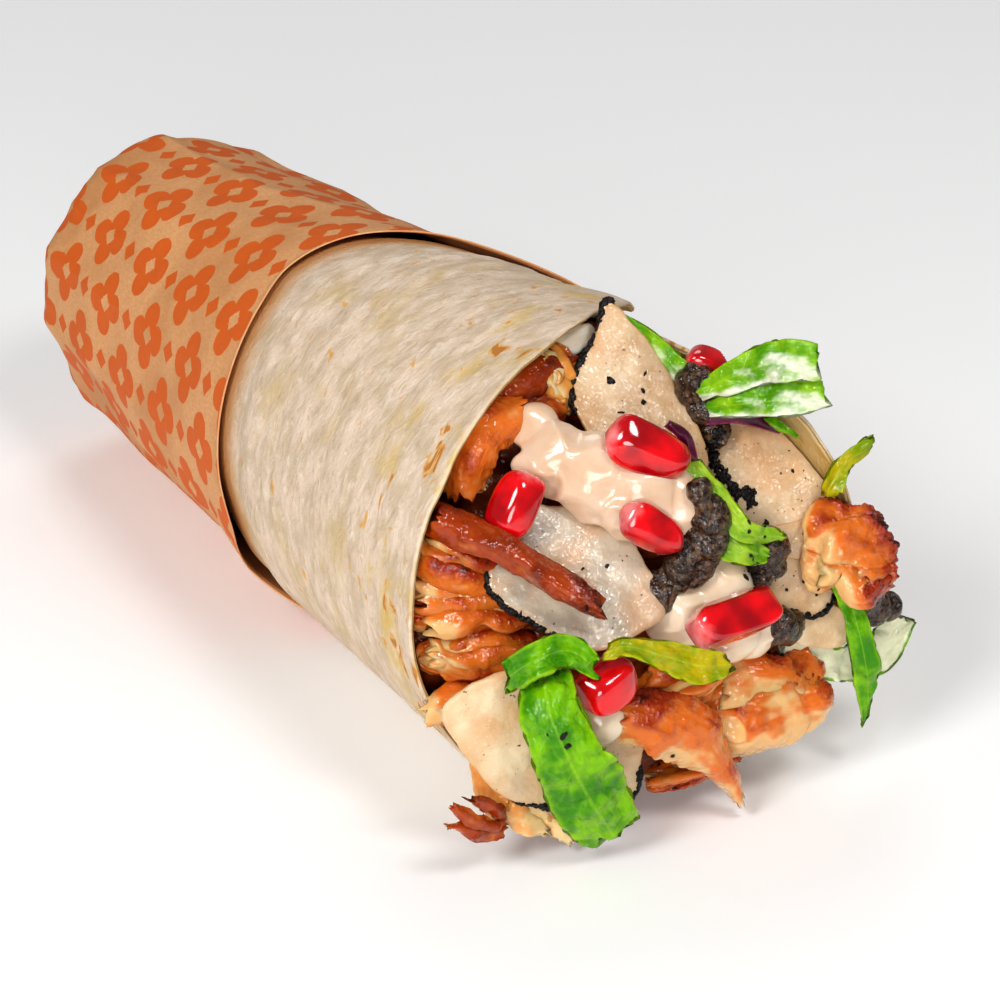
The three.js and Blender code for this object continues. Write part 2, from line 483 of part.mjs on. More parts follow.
// The pieces in front come first: each one trims those after it.
const PIECES = [
  ['seed_lower', 'seed', pomegranateSeed([-8.5, 12, 29.5], [-17, 12, 26.5], 7, 1)],
  ['seed_front', 'seed', pomegranateSeed([0.5, 13, 32], [14, 13, 33.5], 6.4, 2)],
  ['seed_middle', 'seed', pomegranateSeed([-5.5, 5, 48.6], [2.6, 6, 42.2], 5.8, 3)],
  ['seed_top', 'seed', pomegranateSeed([-4.5, -1, 58], [5.5, 4, 52.5], 6.8, 4)],
  ['seed_left', 'seed', pomegranateSeed([-15, -4, 53.5], [-19.5, -3, 45], 6.8, 5)],
  ['seed_back', 'seed', pomegranateSeed([14.5, -11, 61.5], [18.5, -7, 58], 5.6, 6)],
  ['leaf_hanging', 'leaf', ribbon({
    path: [[-21.5, 11, 31.5], [-23.5, 15, 29], [-22, 17, 22.5], [-17.5, 16, 13], [-13, 14, 5.6]],
    widths: [6, 8, 9.5, 10, 6.5], thick: 0.8, cup: -1, wave: 0.5, seed: 1, steps: 9,
  })],
  ['leaf_fold', 'leaf', ribbon({
    path: [[-26.5, 9, 31], [-24, 13, 35], [-19, 13, 35], [-15, 14, 31.5]],
    widths: [4, 4.5, 4.5, 2.5], thick: 0.8, cup: 0.6, wave: 0.4, seed: 2,
  })],
  ['leaf_cross', 'leaf', ribbon({
    path: [[-14.5, 14, 33.5], [-11, 14.5, 34], [-6, 16, 32], [-1, 17, 29.5], [4.5, 17.5, 28.5]],
    widths: [2.2, 2.6, 4.4, 4.8, 2.5], thick: 0.8, cup: 0.6, wave: 0.4, seed: 3,
  })],
  ['leaf_middle', 'leaf', ribbon({
    path: [[6, 3, 52], [8, 7, 48], [10.5, 10, 44], [16, 11, 42]],
    widths: [4, 4.5, 3.6, 1.6], thick: 0.8, twist: [0, 25], wave: 0.4, seed: 4,
  })],
  ['leaf_middle_low', 'leaf', ribbon({
    path: [[6.5, 7, 43.5], [9, 9, 42], [11.5, 10, 40.5], [14.5, 10, 39]],
    widths: [3, 5, 4, 1.6], thick: 0.8, cup: 0.8, seed: 5, steps: 6,
  })],
  ['leaf_thin', 'leaf', ribbon({
    path: [[26.5, 9, 32], [28, 11, 28.5], [29, 12, 23], [30.5, 12, 15.5], [31, 11, 9.5]],
    widths: [2.4, 3, 3.8, 3.2, 1], thick: 0.8, twist: [20, -30], wave: 0.4, seed: 6,
  })],
  ['leaf_rib', 'leaf', ribbon({
    path: [[20, 7, 23], [26.5, 8, 18], [35.5, 7, 16.5], [42, 5, 20]],
    widths: [4, 5, 5.5, 4], thick: 1.2, cup: 1, wave: 0.4, seed: 7,
  })],
  ['leaf_curl', 'leaf', ribbon({
    path: [[27.3, 7, 45.2], [29, 7, 48], [32.6, 7, 49.8]],
    widths: [3.4, 2.2, 2.6], thick: 0.8, twist: [-30, 40], seed: 8, steps: 6,
  })],
  ['leaf_top_upper', 'leaf', ribbon({
    path: [[13, -5, 58.5], [17, -1, 61.5], [20.5, 3, 64], [23.5, 7, 65]],
    widths: [2.6, 4.4, 5.6, 4.4], thick: 0.8, wave: 0.5, seed: 9,
  })],
  ['leaf_top_lower', 'leaf', ribbon({
    path: [[13.5, -4, 56], [17, 0, 57.5], [21, 4, 58.5], [25, 8, 60]],
    widths: [2.4, 4, 4.8, 3.6], thick: 0.8, wave: 0.5, seed: 10,
  })],
  ['leaf_edge', 'leaf', ribbon({
    path: [[21.3, -1, 55.2], [23.3, 1, 53.7], [24.8, 3, 51.7]],
    widths: [2.4, 3, 1.2], thick: 0.8, seed: 11, steps: 5,
  })],
  ['leaf_back', 'leaf', ribbon({
    path: [[7, -16.5, 66], [10.5, -13, 62.5], [13, -9, 59], [14.5, -6, 56]],
    widths: [3, 4.6, 4, 2.4], thick: 0.8, wave: 0.4, seed: 12,
  })],
  ['leaf_tip', 'leaf', ribbon({
    path: [[-1, -20, 63.5], [4, -21, 64.5]], widths: [1.2, 2.4], thick: 0.8, seed: 13, steps: 4,
  })],
  ['cabbage_right', 'cabbage', ribbon({
    path: [[13.5, -4, 55.5], [18.5, -3, 54.5], [24, -1, 51.5]], widths: [3.4, 3, 1.4], thick: 1, steps: 6,
  })],
  ['cabbage_left', 'cabbage', ribbon({
    path: [[4, 1, 58], [6, 2, 56], [7, 3, 52.5]], widths: [1.2, 1.8, 1.2], thick: 1, steps: 5,
  })],
  ['onion', 'onion', chunk({ from: [-4, -18, 62.5], to: [5, -20, 64], width: 4, depth: 2, seed: 7, detail: 1 })],
  ['chicken_strip', 'chicken_dark', ribbon({
    path: [[-28, -8, 48], [-23, -2, 46], [-19, 4, 43.5], [-12.5, 10, 38.5]],
    widths: [4.5, 5.5, 5.5, 4], thick: 3, cup: -0.8, wave: 0.5, seed: 14, cells: 4, thinEdge: 0.3,
  })],
  ['chicken_tail', 'chicken', ribbon({
    path: [[-11, 11.5, 22], [-5, 13, 20], [1.5, 13, 15], [6, 12.5, 9], [9, 12, 3]],
    widths: [6, 9, 9, 4.5, 1.6], thick: 3, cup: -0.8, wave: 0.5, seed: 15, cells: 4, thinEdge: 0.3,
  })],
  ['chicken_front', 'chicken', chunk({
    from: [5, 6.5, 15], to: [25.6, 8, 13.6], width: 13.5, depth: 12, seed: 8,
  })],
  ['chicken_right', 'chicken', chunk({
    from: [21.8, 6.5, 37.4], to: [35.8, 10, 34], width: 13.5, depth: 8, seed: 9, bump: 0.2,
  })],
  ['chicken_middle', 'chicken', chunk({
    from: [-6, 8, 21.5], to: [8.5, 8, 22], width: 7, depth: 7, seed: 10, detail: 1,
  })],
  ['slice_pale', 'truffle', roundSlice({
    left: [19, 7, 26], right: [30, 8.5, 24], top: [25, 7.5, 27.5], bottom: [25.5, 9, 20.5], seed: 1, cells: 4,
  })],
  ['slice_front', 'truffle', roundSlice({
    left: [16, 6, 34.5], right: [29.5, 6.5, 32.5], top: [23.5, 4.5, 40], bottom: [22, 9, 27], bend: -0.8, seed: 2,
  })],
  ['slice_middle', 'truffle', roundSlice({
    left: [-22, -4, 41.5], right: [-0.5, 6, 36.5], top: [-9, -4, 47], bottom: [-13.5, 9, 32], bend: -1.2, seed: 3,
  })],
  ['slice_right', 'truffle', roundSlice({
    left: [13.5, -3, 46.5], right: [29.9, 5, 43.6], top: [22, -7, 54], bottom: [22, 5.5, 35], bend: -1.2, seed: 4,
  })],
  ['slice_top', 'truffle', roundSlice({
    left: [-6, -13, 60], right: [16, -3.5, 56], top: [6.5, -19.5, 68.5], bottom: [3.5, -3.5, 48.5],
    bend: -1, roll: 0.8, taper: 0.72, seed: 5,
  })],
  ['slice_low', 'truffle', roundSlice({
    left: [-31.5, 5, 21.5], right: [-4, 10, 12], top: [-21.5, 7, 31], bottom: [-19.5, 9.5, 10], bend: -1, seed: 6,
  })],
  ['paste_middle', 'paste', pool({
    lumps: [[9, 2, 45.5, 2.6], [8.5, 4, 41.5, 3.2], [5, 5, 37.5, 3], [0.5, 5.5, 35.5, 2.4]],
    flat: 0.8, bump: 0.2, seed: 1,
  })],
  ['paste_top', 'paste', pool({
    lumps: [[13.8, -6.8, 57.5, 2.8], [14.6, -4.6, 53, 2.8]],
    flat: 0.8, bump: 0.2, seed: 2,
  })],
  ['paste_right', 'paste', pool({
    lumps: [[16.5, 8, 38, 2.4], [14, 8.5, 36, 1.8]], flat: 0.8, bump: 0.2, seed: 3,
  })],
  ['paste_low', 'paste', pool({
    lumps: [[16, 10.5, 27, 2.2], [19, 9.5, 28, 1.6]], flat: 0.8, bump: 0.2, seed: 4,
  })],
  ['paste_edge', 'paste', pool({
    lumps: [[33, 7, 25.5, 2.6], [37, 7, 24.5, 2.2]], flat: 0.8, bump: 0.2, seed: 5,
  })],
  ['sauce_top', 'sauce', pool({
    lumps: [
      [-10, -10, 56, 3.6], [-9, -6.5, 53, 5.2], [-5.5, -3, 51, 6.4], [-1.5, 0, 49, 6.6], [4, 2.5, 47, 5.6],
    ],
  })],
  ['sauce_front', 'sauce', pool({
    lumps: [
      [2.5, 5, 32.5, 5.2], [8, 5, 34, 6.6], [8, 7, 30, 6.8], [12, 7.5, 28.5, 5.4], [5.5, 8.5, 27, 4],
    ],
  })],
  ['sauce_low', 'sauce', pool({ lumps: [[-13, 10.5, 22, 3.6]] })],
  ['chicken_under', 'chicken_dark', chunk({
    from: [-3, 5.5, 6], to: [12, 6, 7], width: 5, depth: 4, seed: 11, detail: 1,
  })],
  ['chicken_crisp', 'chicken_dark', ribbon({
    path: [[-35, 8, 14], [-31, 8, 10.5], [-26, 7, 7.5]], widths: [2, 4.4, 4], thick: 2, twist: [30, -20],
    wave: 0.5, seed: 16, steps: 6, thinEdge: 0.4,
  })],
  ['chicken_shred_low', 'chicken_pale', ribbon({
    path: [[-24, 6, 11], [-19.5, 7, 7.5], [-16.5, 8.5, 2.4]], widths: [6, 5.4, 1.8], thick: 2.2,
    wave: 0.4, seed: 17, steps: 6, thinEdge: 0.4,
  })],
  ['chicken_shred_left', 'chicken_pale', ribbon({
    path: [[-25.5, 1.5, 18.5], [-25.5, 4, 12], [-25, 5, 6]], widths: [4, 6, 4.5], thick: 3,
    wave: 0.4, seed: 18, steps: 6, thinEdge: 0.4,
  })],
  ['chicken_curl', 'chicken', ribbon({
    path: [[-23, -12, 48.5], [-22, -12, 54.5], [-17.5, -12, 58], [-10.5, -13, 58]],
    widths: [4.5, 6, 6, 4], thick: 2.8, cup: -0.8, wave: 0.4, seed: 19, cells: 4, thinEdge: 0.3,
  })],
  ['chicken_left_upper', 'chicken', chunk({
    from: [-30, -11, 42], to: [-14, -6, 35], width: 7.5, depth: 8, seed: 12,
  })],
  ['chicken_left_middle', 'chicken', chunk({
    from: [-31, -10, 34], to: [-11, -4, 31], width: 7.5, depth: 8.5, seed: 13,
  })],
  ['chicken_left_lower', 'chicken', chunk({
    from: [-30.5, -9, 27], to: [-13, -3, 25.5], width: 8, depth: 8.5, seed: 14,
  })],
  ['chicken_left_bottom', 'chicken_pale', chunk({
    from: [-30, -7, 20.5], to: [-15, -2, 19.5], width: 7, depth: 8, seed: 15,
  })],
  ['chicken_corner', 'chicken_dark', chunk({
    from: [-15, -19, 58.5], to: [1, -18, 57.5], width: 10.5, depth: 8, seed: 16,
  })],
  ['chicken_back', 'chicken_pale', chunk({
    from: [-3, -20, 64], to: [-1, -15, 55], width: 6.5, depth: 7, seed: 17, detail: 1,
  })],
];

// Each piece keeps clear of those before it and of the bread, and the core of them all.
function fitTogether() {
  const room = breadRoom();
  const fitted = [];
  const rooms = [room];
  for (const [name, colour, shape] of PIECES) {
    const cut = rooms.reduce((solid, other) => solid.subtract(other), shape(0));
    fitted.push([name, colour, largestBody(cut.simplify(SIMPLIFY))]);
    rooms.push(shape(GAP));
  }
  const core = rooms.slice(1).reduce((solid, other) => solid.subtract(other), fillingCore());
  fitted.push(['filling_core', 'filling', largestBody(core.simplify(SIMPLIFY))]);
  return fitted;
}

function meshOf(name, colour, solid) {
  const { vertProperties, triVerts } = solid.getMesh();
  const geometry = new THREE.BufferGeometry();
  geometry.setAttribute('position', new THREE.BufferAttribute(vertProperties, 3));
  geometry.setIndex(new THREE.BufferAttribute(triVerts, 1));
  geometry.computeVertexNormals();
  const shiny = ['seed', 'sauce', 'paste'].includes(colour);
  const material = new THREE.MeshStandardMaterial({
    color: COLOURS[colour],
    roughness: shiny ? 0.25 : 0.6,
    metalness: 0,
  });
  const mesh = new THREE.Mesh(geometry, material);
  mesh.name = name;
  return mesh;
}

const piadina = new THREE.Group();
piadina.add(meshOf('flatbread', 'bread', flatbread()));
piadina.add(meshOf('paper_sleeve', 'paper', paperSleeve()));
for (const [name, colour, solid] of fitTogether()) piadina.add(meshOf(name, colour, solid));

export default piadina;
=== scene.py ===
"""The looks of a piadina wrap: a rolled flatbread in a paper sleeve, with its filling showing.

Shapes are worked out in millimetres in the row's frame, +Z up, the mouth facing -Y, and become
metres when they turn into Blender meshes. "Along" is measured from the mouth towards the tail.
"""
import math

import bpy
import numpy as np
from mathutils import Matrix, Vector
from mathutils.bvhtree import BVHTree


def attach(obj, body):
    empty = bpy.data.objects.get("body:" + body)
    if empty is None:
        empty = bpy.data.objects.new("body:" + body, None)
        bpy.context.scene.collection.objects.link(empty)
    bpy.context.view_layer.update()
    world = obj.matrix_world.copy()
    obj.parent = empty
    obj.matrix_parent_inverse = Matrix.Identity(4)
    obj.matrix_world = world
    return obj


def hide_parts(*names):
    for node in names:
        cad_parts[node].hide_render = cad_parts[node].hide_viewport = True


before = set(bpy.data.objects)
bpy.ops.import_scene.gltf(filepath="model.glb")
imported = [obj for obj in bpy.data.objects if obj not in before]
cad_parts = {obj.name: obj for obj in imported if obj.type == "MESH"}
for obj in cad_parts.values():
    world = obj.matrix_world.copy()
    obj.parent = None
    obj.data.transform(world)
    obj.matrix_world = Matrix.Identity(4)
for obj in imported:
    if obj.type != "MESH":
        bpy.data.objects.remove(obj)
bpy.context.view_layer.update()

MM = 0.001

# The roll, as in the solids. Sizes are in mm, turns round the roll in degrees
MOUTH_RADIUS = 33.0
TAIL_RADIUS = 25.8
CONE_LENGTH = 154.0
HEIGHT_OVER_WIDTH = 1.06
FLATTENING = 0.8
TAIL_RISE = 1.3
RISE_START = 108.0
MOUTH_Y = -72.0
CORE_END = 137.0

# The bread, with the turns at which its free and its inner end lie. HIDDEN_ROOM is how much further in
# it lies deep under the paper, OVER_RIM how far the filling may stand out past it in front of its rim
BREAD_THICKNESS = 1.6
BREAD_GAP = 0.15
BREAD_FREE_END = 50.0
BREAD_INNER_END = 450.0
BREAD_END = 142.0
PLY_GAP = 0.35
FREE_END_LIFT = 0.9
HIDDEN_ROOM = 2.0
OVER_RIM = 20.0

# The paper, with how far apart its two faces are at its rim and further in
PAPER_THICKNESS = 0.45
PAPER_GAP = 0.3
PAPER_RIM = 0.22
PAPER_WALL = 0.62
PAPER_SHOULDER = 148.0
PAPER_TAIL = 14.0
TAIL_REACH = PAPER_TAIL + PAPER_THICKNESS + PAPER_GAP
TAIL_SQUARENESS = 3.0
DEEPEST_DENT = 1.9
PAPER_CREASES = [-32, 14, 50, 92, 121, 158, 186, 221, 262, 300, 328]
PRINT_PITCHES = (20.6, 18.0)
PRINT_ROUND = 9 * PRINT_PITCHES[0]

# How far apart the grain lies on the two faces of a strip, a slice and the bread, so that they differ
STRIP_FACES = 40.0
SLICE_FACES = 60.0
BREAD_FACES = 300.0

# What crumbs can land on, and how far the search for it starts and goes
SURFACES = []
RAY_LENGTH = 30.0
RAY_REACH = 8.0

# Towards the viewer of the filling
FACING = np.array([-0.469, -0.755, 0.458])
FACING /= np.linalg.norm(FACING)


# ---------------- numbers and curves

def unit(vectors):
    return vectors / (np.linalg.norm(vectors, axis=-1, keepdims=True) + 1e-12)


def lerp(a, b, share):
    return a + (b - a) * share


def stacked(*parts):
    """The parts, each a number or an array, side by side along a last axis."""
    return np.stack(np.broadcast_arrays(*parts), axis=-1)


def smoothstep(x, low, high):
    t = np.clip((np.asarray(x, float) - low) / (high - low), 0, 1)
    return t * t * (3 - 2 * t)


def curve_through(points):
    """A smooth curve through (x, y) points, flat beyond the first and the last one."""
    xs, ys = np.array(points, float).T
    before = np.maximum(np.arange(len(xs)) - 1, 0)
    after = np.minimum(np.arange(len(xs)) + 1, len(xs) - 1)
    slopes = (ys[after] - ys[before]) / (xs[after] - xs[before])

    def value(x):
        x = np.clip(x, xs[0], xs[-1])
        i = np.clip(np.searchsorted(xs, x, side="right") - 1, 0, len(xs) - 2)
        span = xs[i + 1] - xs[i]
        t = (x - xs[i]) / span
        rise = (1 - t) ** 2 * (1 + 2 * t) * ys[i] + t ** 2 * (3 - 2 * t) * ys[i + 1]
        return rise + span * (t * (1 - t) ** 2 * slopes[i] - t ** 2 * (1 - t) * slopes[i + 1])
    return value


def lumps(points, size, seed):
    """The solids' own smooth waves, so that the large bumps here are theirs."""
    wave = 2 * math.pi / size
    x, y, z = points[..., 0], points[..., 1], points[..., 2]
    a = np.sin(wave * (0.62 * x + 0.31 * z) + 1.9 * seed) * np.cos(wave * (0.55 * y - 0.2 * x) + seed)
    b = np.sin(wave * (0.48 * z - 0.37 * y) + 2.7 * seed) * np.cos(wave * (0.41 * x + 0.5 * z) - seed)
    return 0.6 * a + 0.6 * b


def lattice(cells, seed):
    """A fixed random number from -1 to 1 for each cell of a grid."""
    x, y, z = (cells[..., k].astype(np.uint32) for k in range(3))
    mixed = x * np.uint32(374761393) + y * np.uint32(668265263) + z * np.uint32(2246822519)
    mixed = mixed + np.uint32(seed * 97531 + 12345)
    mixed = (mixed ^ (mixed >> np.uint32(13))) * np.uint32(1274126177)
    mixed = (mixed ^ (mixed >> np.uint32(15))) * np.uint32(2246822519)
    return ((mixed >> np.uint32(8)) & np.uint32(0xFFFF)) / 32767.5 - 1.0


def noise(points, size, seed=0):
    """Smooth noise from -1 to 1 with features of the given size. size may differ by axis."""
    scaled = points / np.asarray(size, float) + 37.7 * (seed + 1)
    cell = np.floor(scaled).astype(np.int64)
    t = scaled - cell
    t = t * t * t * (t * (t * 6 - 15) + 10)
    total = np.zeros(points.shape[:-1])
    for corner in np.ndindex(2, 2, 2):
        weight = np.prod(np.where(corner, t, 1 - t), axis=-1)
        total += weight * lattice(cell + np.array(corner), seed)
    return total


def fractal(points, size, octaves, seed):
    """Noise with finer and weaker noise added, one octave after another."""
    size = np.asarray(size, float)
    return sum(noise(points, size / 2 ** k, seed + 11 * k) / 2 ** k for k in range(octaves))


# ---------------- shapes

class Shape:
    """Points in mm with four- and three-cornered faces. grain is the place on the surface in mm,
    across and along the fibres; where it closes on itself, around is the whole way round.
    values are further numbers for each point."""

    def __init__(self, points, quads, tris, grain, **values):
        self.points = np.asarray(points, float)
        self.quads = np.asarray(quads, int).reshape(-1, 4)
        self.tris = np.asarray(tris, int).reshape(-1, 3)
        self.grain = np.asarray(grain, float)
        self.around = 0.0
        self.values = {key: np.broadcast_to(value, len(self.points)).astype(float)
                       for key, value in values.items()}
        a, b, c = self.corners()
        if np.einsum("ij,ij->", a, np.cross(b, c)) < 0:
            self.quads, self.tris = self.quads[:, ::-1], self.tris[:, ::-1]

    def triangles(self):
        return np.concatenate([self.quads[:, [0, 1, 2]], self.quads[:, [0, 2, 3]], self.tris])

    def corners(self):
        return (self.points[corner] for corner in self.triangles().T)

    def normals(self):
        a, b, c = self.corners()
        total = np.zeros_like(self.points)
        for corner in self.triangles().T:
            np.add.at(total, corner, np.cross(b - a, c - a))
        return unit(total)

    def push(self, distance):
        """Moves each point along its normal."""
        self.points = self.points + self.normals() * np.asarray(distance)[..., None]
        return self


def joined(shapes):
    starts = np.cumsum([0] + [len(shape.points) for shape in shapes[:-1]])

    def gathered(part):
        return np.concatenate([part(shape, start) for shape, start in zip(shapes, starts)])

    values = {key: gathered(lambda shape, _: shape.values[key]) for key in shapes[0].values}
    return Shape(gathered(lambda shape, _: shape.points), gathered(lambda shape, start: shape.quads + start),
                 gathered(lambda shape, start: shape.tris + start), gathered(lambda shape, _: shape.grain),
                 **values)


def grid_quads(rows, columns):
    """The faces of a grid whose columns close into a ring."""
    i, j = (grid.ravel() for grid in np.meshgrid(np.arange(rows - 1), np.arange(columns), indexing="ij"))
    beside = (j + 1) % columns
    return np.stack([i * columns + j, i * columns + beside, (i + 1) * columns + beside,
                     (i + 1) * columns + j], axis=1)


def lofted(rings, grain, tips=None, tip_grain=None, **values):
    """A closed skin over closed rings, shaped (rings, points, 3), that ends in two tips."""
    rows, columns = rings.shape[:2]
    first, last, start = rows * columns, rows * columns + 1, (rows - 1) * columns
    j = np.arange(columns)
    beside = (j + 1) % columns
    tris = np.concatenate([
        np.stack([np.full(columns, first), beside, j], axis=1),
        np.stack([np.full(columns, last), start + j, start + beside], axis=1),
    ])
    tips = rings[[0, -1]].mean(axis=1) if tips is None else tips
    tip_grain = grain[[0, -1], [0, -1]] if tip_grain is None else tip_grain
    values = {key: np.broadcast_to(value, (rows, columns)).reshape(-1) for key, value in values.items()}
    values = {key: np.append(value, value[[0, start]]) for key, value in values.items()}
    return Shape(np.concatenate([rings.reshape(-1, 3), tips]), grid_quads(rows, columns), tris,
                 np.concatenate([grain.reshape(-1, 2), tip_grain]), **values)


def at(place):
    """A point of the filling, given as right of the axis, forward of the mouth and above the floor."""
    right, forward, up = np.moveaxis(np.asarray(place, float), -1, 0)
    return stacked(right, MOUTH_Y - forward, up)


def ball_points(rows, columns):
    """A unit ball's points, from pole to pole along the first axis, and the angle round it of each."""
    polar = np.linspace(0, math.pi, rows)[:, None]
    around = np.linspace(0, 2 * math.pi, columns, endpoint=False)
    ball = stacked(np.cos(polar), np.sin(polar) * np.cos(around), np.sin(polar) * np.sin(around))
    return ball, around * np.ones_like(polar)


class Span:
    """Two ends, with the axes of what lies between them: along, to the side and towards the viewer."""

    def __init__(self, start, end):
        self.start, self.end = at(start), at(end)
        self.length = np.linalg.norm(self.end - self.start)
        self.along = unit(self.end - self.start)
        self.face = unit(FACING - self.along * (FACING @ self.along))
        self.side = np.cross(self.face, self.along)

    def place(self, local):
        """Points that are given from the middle, along, sideways and towards the viewer."""
        along, aside, forward = (local[..., k, None] for k in range(3))
        return (self.start + self.end) / 2 + along * self.along + aside * self.side + forward * self.face

    def ball(self, local, grain, **values):
        """The skin of a ball whose points are given from pole to pole."""
        points = self.place(local)
        return lofted(points[1:-1], grain[1:-1], points[[0, -1], 0], grain[[0, -1], 0], **values)


def chunk(start, end, width, depth, seed, bump, fineness, squareness=2.4, swell=1.0, **values):
    """A lump between two ends."""
    span = Span(start, end)
    halves = np.array([span.length, width, depth]) / 2 * swell
    ball, around = ball_points(fineness + 2, fineness)
    reach = (np.abs(ball) ** squareness).sum(axis=-1) ** (-1 / squareness)
    reach = reach * (1 + bump * lumps(ball * 10, 9, seed))
    local = ball * reach[..., None] * halves
    return span.ball(local, stacked(around * 0.5 * (halves[1] + halves[2]), local[..., 0]), **values)


def path_through(places, steps):
    """A smooth path through the places, at even steps, with its directions."""
    points = at(places)
    padded = np.concatenate([[2 * points[0] - points[1]], points, [2 * points[-1] - points[-2]]])
    pieces = []
    for k in range(len(points) - 1):
        p = padded[k:k + 4]
        knots = np.append(0, np.cumsum(np.linalg.norm(np.diff(p, axis=0), axis=1) ** 0.5))
        t = np.linspace(knots[1], knots[2], 24, endpoint=False)[:, None]
        a = [lerp(p[i], p[i + 1], (t - knots[i]) / (knots[i + 1] - knots[i])) for i in range(3)]
        b = [lerp(a[i], a[i + 1], (t - knots[i]) / (knots[i + 2] - knots[i])) for i in range(2)]
        pieces.append(lerp(b[0], b[1], (t - knots[1]) / (knots[2] - knots[1])))
    dense = np.concatenate(pieces + [points[-1:]])
    length = np.append(0, np.cumsum(np.linalg.norm(np.diff(dense, axis=0), axis=1)))
    lengths = np.linspace(0, length[-1], steps)
    path = stacked(*(np.interp(lengths, length, axis) for axis in dense.T))
    return path, unit(np.gradient(path, axis=0)), lengths


def ribbon(path, widths, thick, twist=(0, 0), cup=0, wave=0, waves=2, seed=0, thin_edge=1.0, ragged=0.0,
           end_ragged=0.0, strand=1.0, tooth=3.2, fineness=0.3, **values):
    """A strip along a path. across runs from -1 to 1 over its width, share from 0 to 1 along it."""
    rough_length = path_through(path, 24)[2][-1]
    steps = int(np.clip(rough_length / fineness, 36, 190))
    loop = 2 * int(np.clip(max(widths) / fineness, 12, 44))
    points, tangents, lengths = path_through(path, steps)
    share = np.linspace(0, 1, steps)[:, None]
    width_at = curve_through([(k / (len(widths) - 1), width) for k, width in enumerate(widths)])
    face = unit(FACING - tangents * (tangents @ FACING)[:, None])
    angles = np.radians(lerp(*twist, share))
    face = face * np.cos(angles) + np.cross(tangents, face) * np.sin(angles)
    side = np.cross(face, tangents)
    around = np.linspace(0, 2 * math.pi, loop, endpoint=False)
    across = np.sign(np.cos(around)) * np.abs(np.cos(around)) ** 0.8
    above = np.sign(np.sin(around)) * np.abs(np.sin(around)) ** 0.5
    edge = stacked(lengths, 0, 3.0 * seed)[:, None]
    edge_noise = np.where(across > 0, fractal(edge, tooth, 4, seed), fractal(edge + 50, tooth, 4, seed + 1))
    half_width = width_at(share) / 2 * (1 + ragged * edge_noise * np.abs(across))
    taper = np.minimum(1, np.minimum(share, 1 - share) / 0.03 + 0.12) ** 0.5
    half_thick = thick / 2 * lerp(1, thin_edge, across ** 2) * taper
    wavy = wave * across * np.sin(2 * math.pi * waves * share + seed + across)
    height = cup * (across ** 2 - 0.5) + wavy + half_thick * above
    fringe = fractal(stacked(across * max(widths) / 2, 0, seed * 2.0), strand, 2, seed)
    push = (share * 2 - 1) ** 7 * end_ragged * fringe
    rings = (points[:, None] + side[:, None] * (across * half_width)[..., None]
             + face[:, None] * height[..., None] + tangents[:, None] * push[..., None])
    grain = stacked(across * half_width + np.where(above > 0, 0, STRIP_FACES), lengths[:, None])
    return lofted(rings, grain, **{"across": across, "share": share} | values)


def round_slice(left, right, top, bottom, bend=0, roll=0, taper=0, seed=0):
    """A thin round slice between its left, right, top and bottom edge. rim runs from 0 in its middle
    to 1 at its edge."""
    thick, ragged, radial, back, columns = 1.0, 0.03, 40, 8, 132
    l, r, t, b = (at(place) for place in (left, right, top, bottom))
    across, upward = (r - l) / 2, (t - b) / 2
    normal = unit(np.cross(across, upward))
    towards_viewer = 1.0 if normal @ FACING > 0 else -1.0
    angle = np.linspace(0, 2 * math.pi, columns, endpoint=False)
    share = np.r_[np.linspace(0.03, 0.96, radial), 0.985, 1, 1, 0.985, np.linspace(0.96, 0.1, back)][:, None]
    height = np.r_[np.ones(radial), 0.85, 0.4, -0.4, -0.85, -np.ones(back)][:, None] * towards_viewer
    circle = stacked(np.cos(angle), np.sin(angle), seed * 3.0)
    rim = 1 + 0.05 * np.sin(5 * angle + seed) + ragged * fractal(circle, 0.4, 4, seed)

    def on_slice(share, height):
        x, y = share * np.cos(angle) * rim, share * np.sin(angle) * rim
        narrow = 1 - taper * (1 + y) / 2
        sag = bend * x * x + roll * y * y + thick / 2 * height
        points = (l + r + t + b) / 4 + across * (x * narrow)[..., None] + upward * y[..., None]
        grain = stacked(x * np.linalg.norm(across) + np.where(height > 0, 0, SLICE_FACES),
                        y * np.linalg.norm(upward))
        return points + normal * sag[..., None], grain

    shape = lofted(*on_slice(share, height), rim=share)
    return shape, on_slice(1.0, 0)[0], normal * towards_viewer


# ---------------- Blender meshes

def object_of(name, mesh):
    made = bpy.data.objects.new(name, mesh)
    bpy.context.scene.collection.objects.link(made)
    return made


def mesh_of(name, shape):
    mesh = bpy.data.meshes.new(name)
    mesh.from_pydata((shape.points * MM).tolist(), [], shape.quads.tolist() + shape.tris.tolist())
    corner_points = np.empty(len(mesh.loops), int)
    mesh.loops.foreach_get("vertex_index", corner_points)
    corner_grain = shape.grain[corner_points]
    if shape.around:
        corners = np.empty(len(mesh.polygons), int)
        mesh.polygons.foreach_get("loop_total", corners)
        first = np.repeat(corner_grain[np.cumsum(corners) - corners, 0], corners)
        corner_grain[:, 0] += shape.around * np.round((first - corner_grain[:, 0]) / shape.around)
    mesh.uv_layers.new(name="grain").data.foreach_set("uv", (corner_grain * MM).ravel())
    for key, value in shape.values.items():
        mesh.attributes.new(key, "FLOAT", "POINT").data.foreach_set("value", value)
    mesh.shade_smooth()
    return mesh


def piece(name, shape, material, nodes=()):
    """A piece of the object, which stands for the CAD nodes that are named."""
    made = object_of(name, mesh_of(name, shape))
    made.data.materials.append(material)
    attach(made, "root")
    if nodes:
        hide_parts(*nodes)
    return made


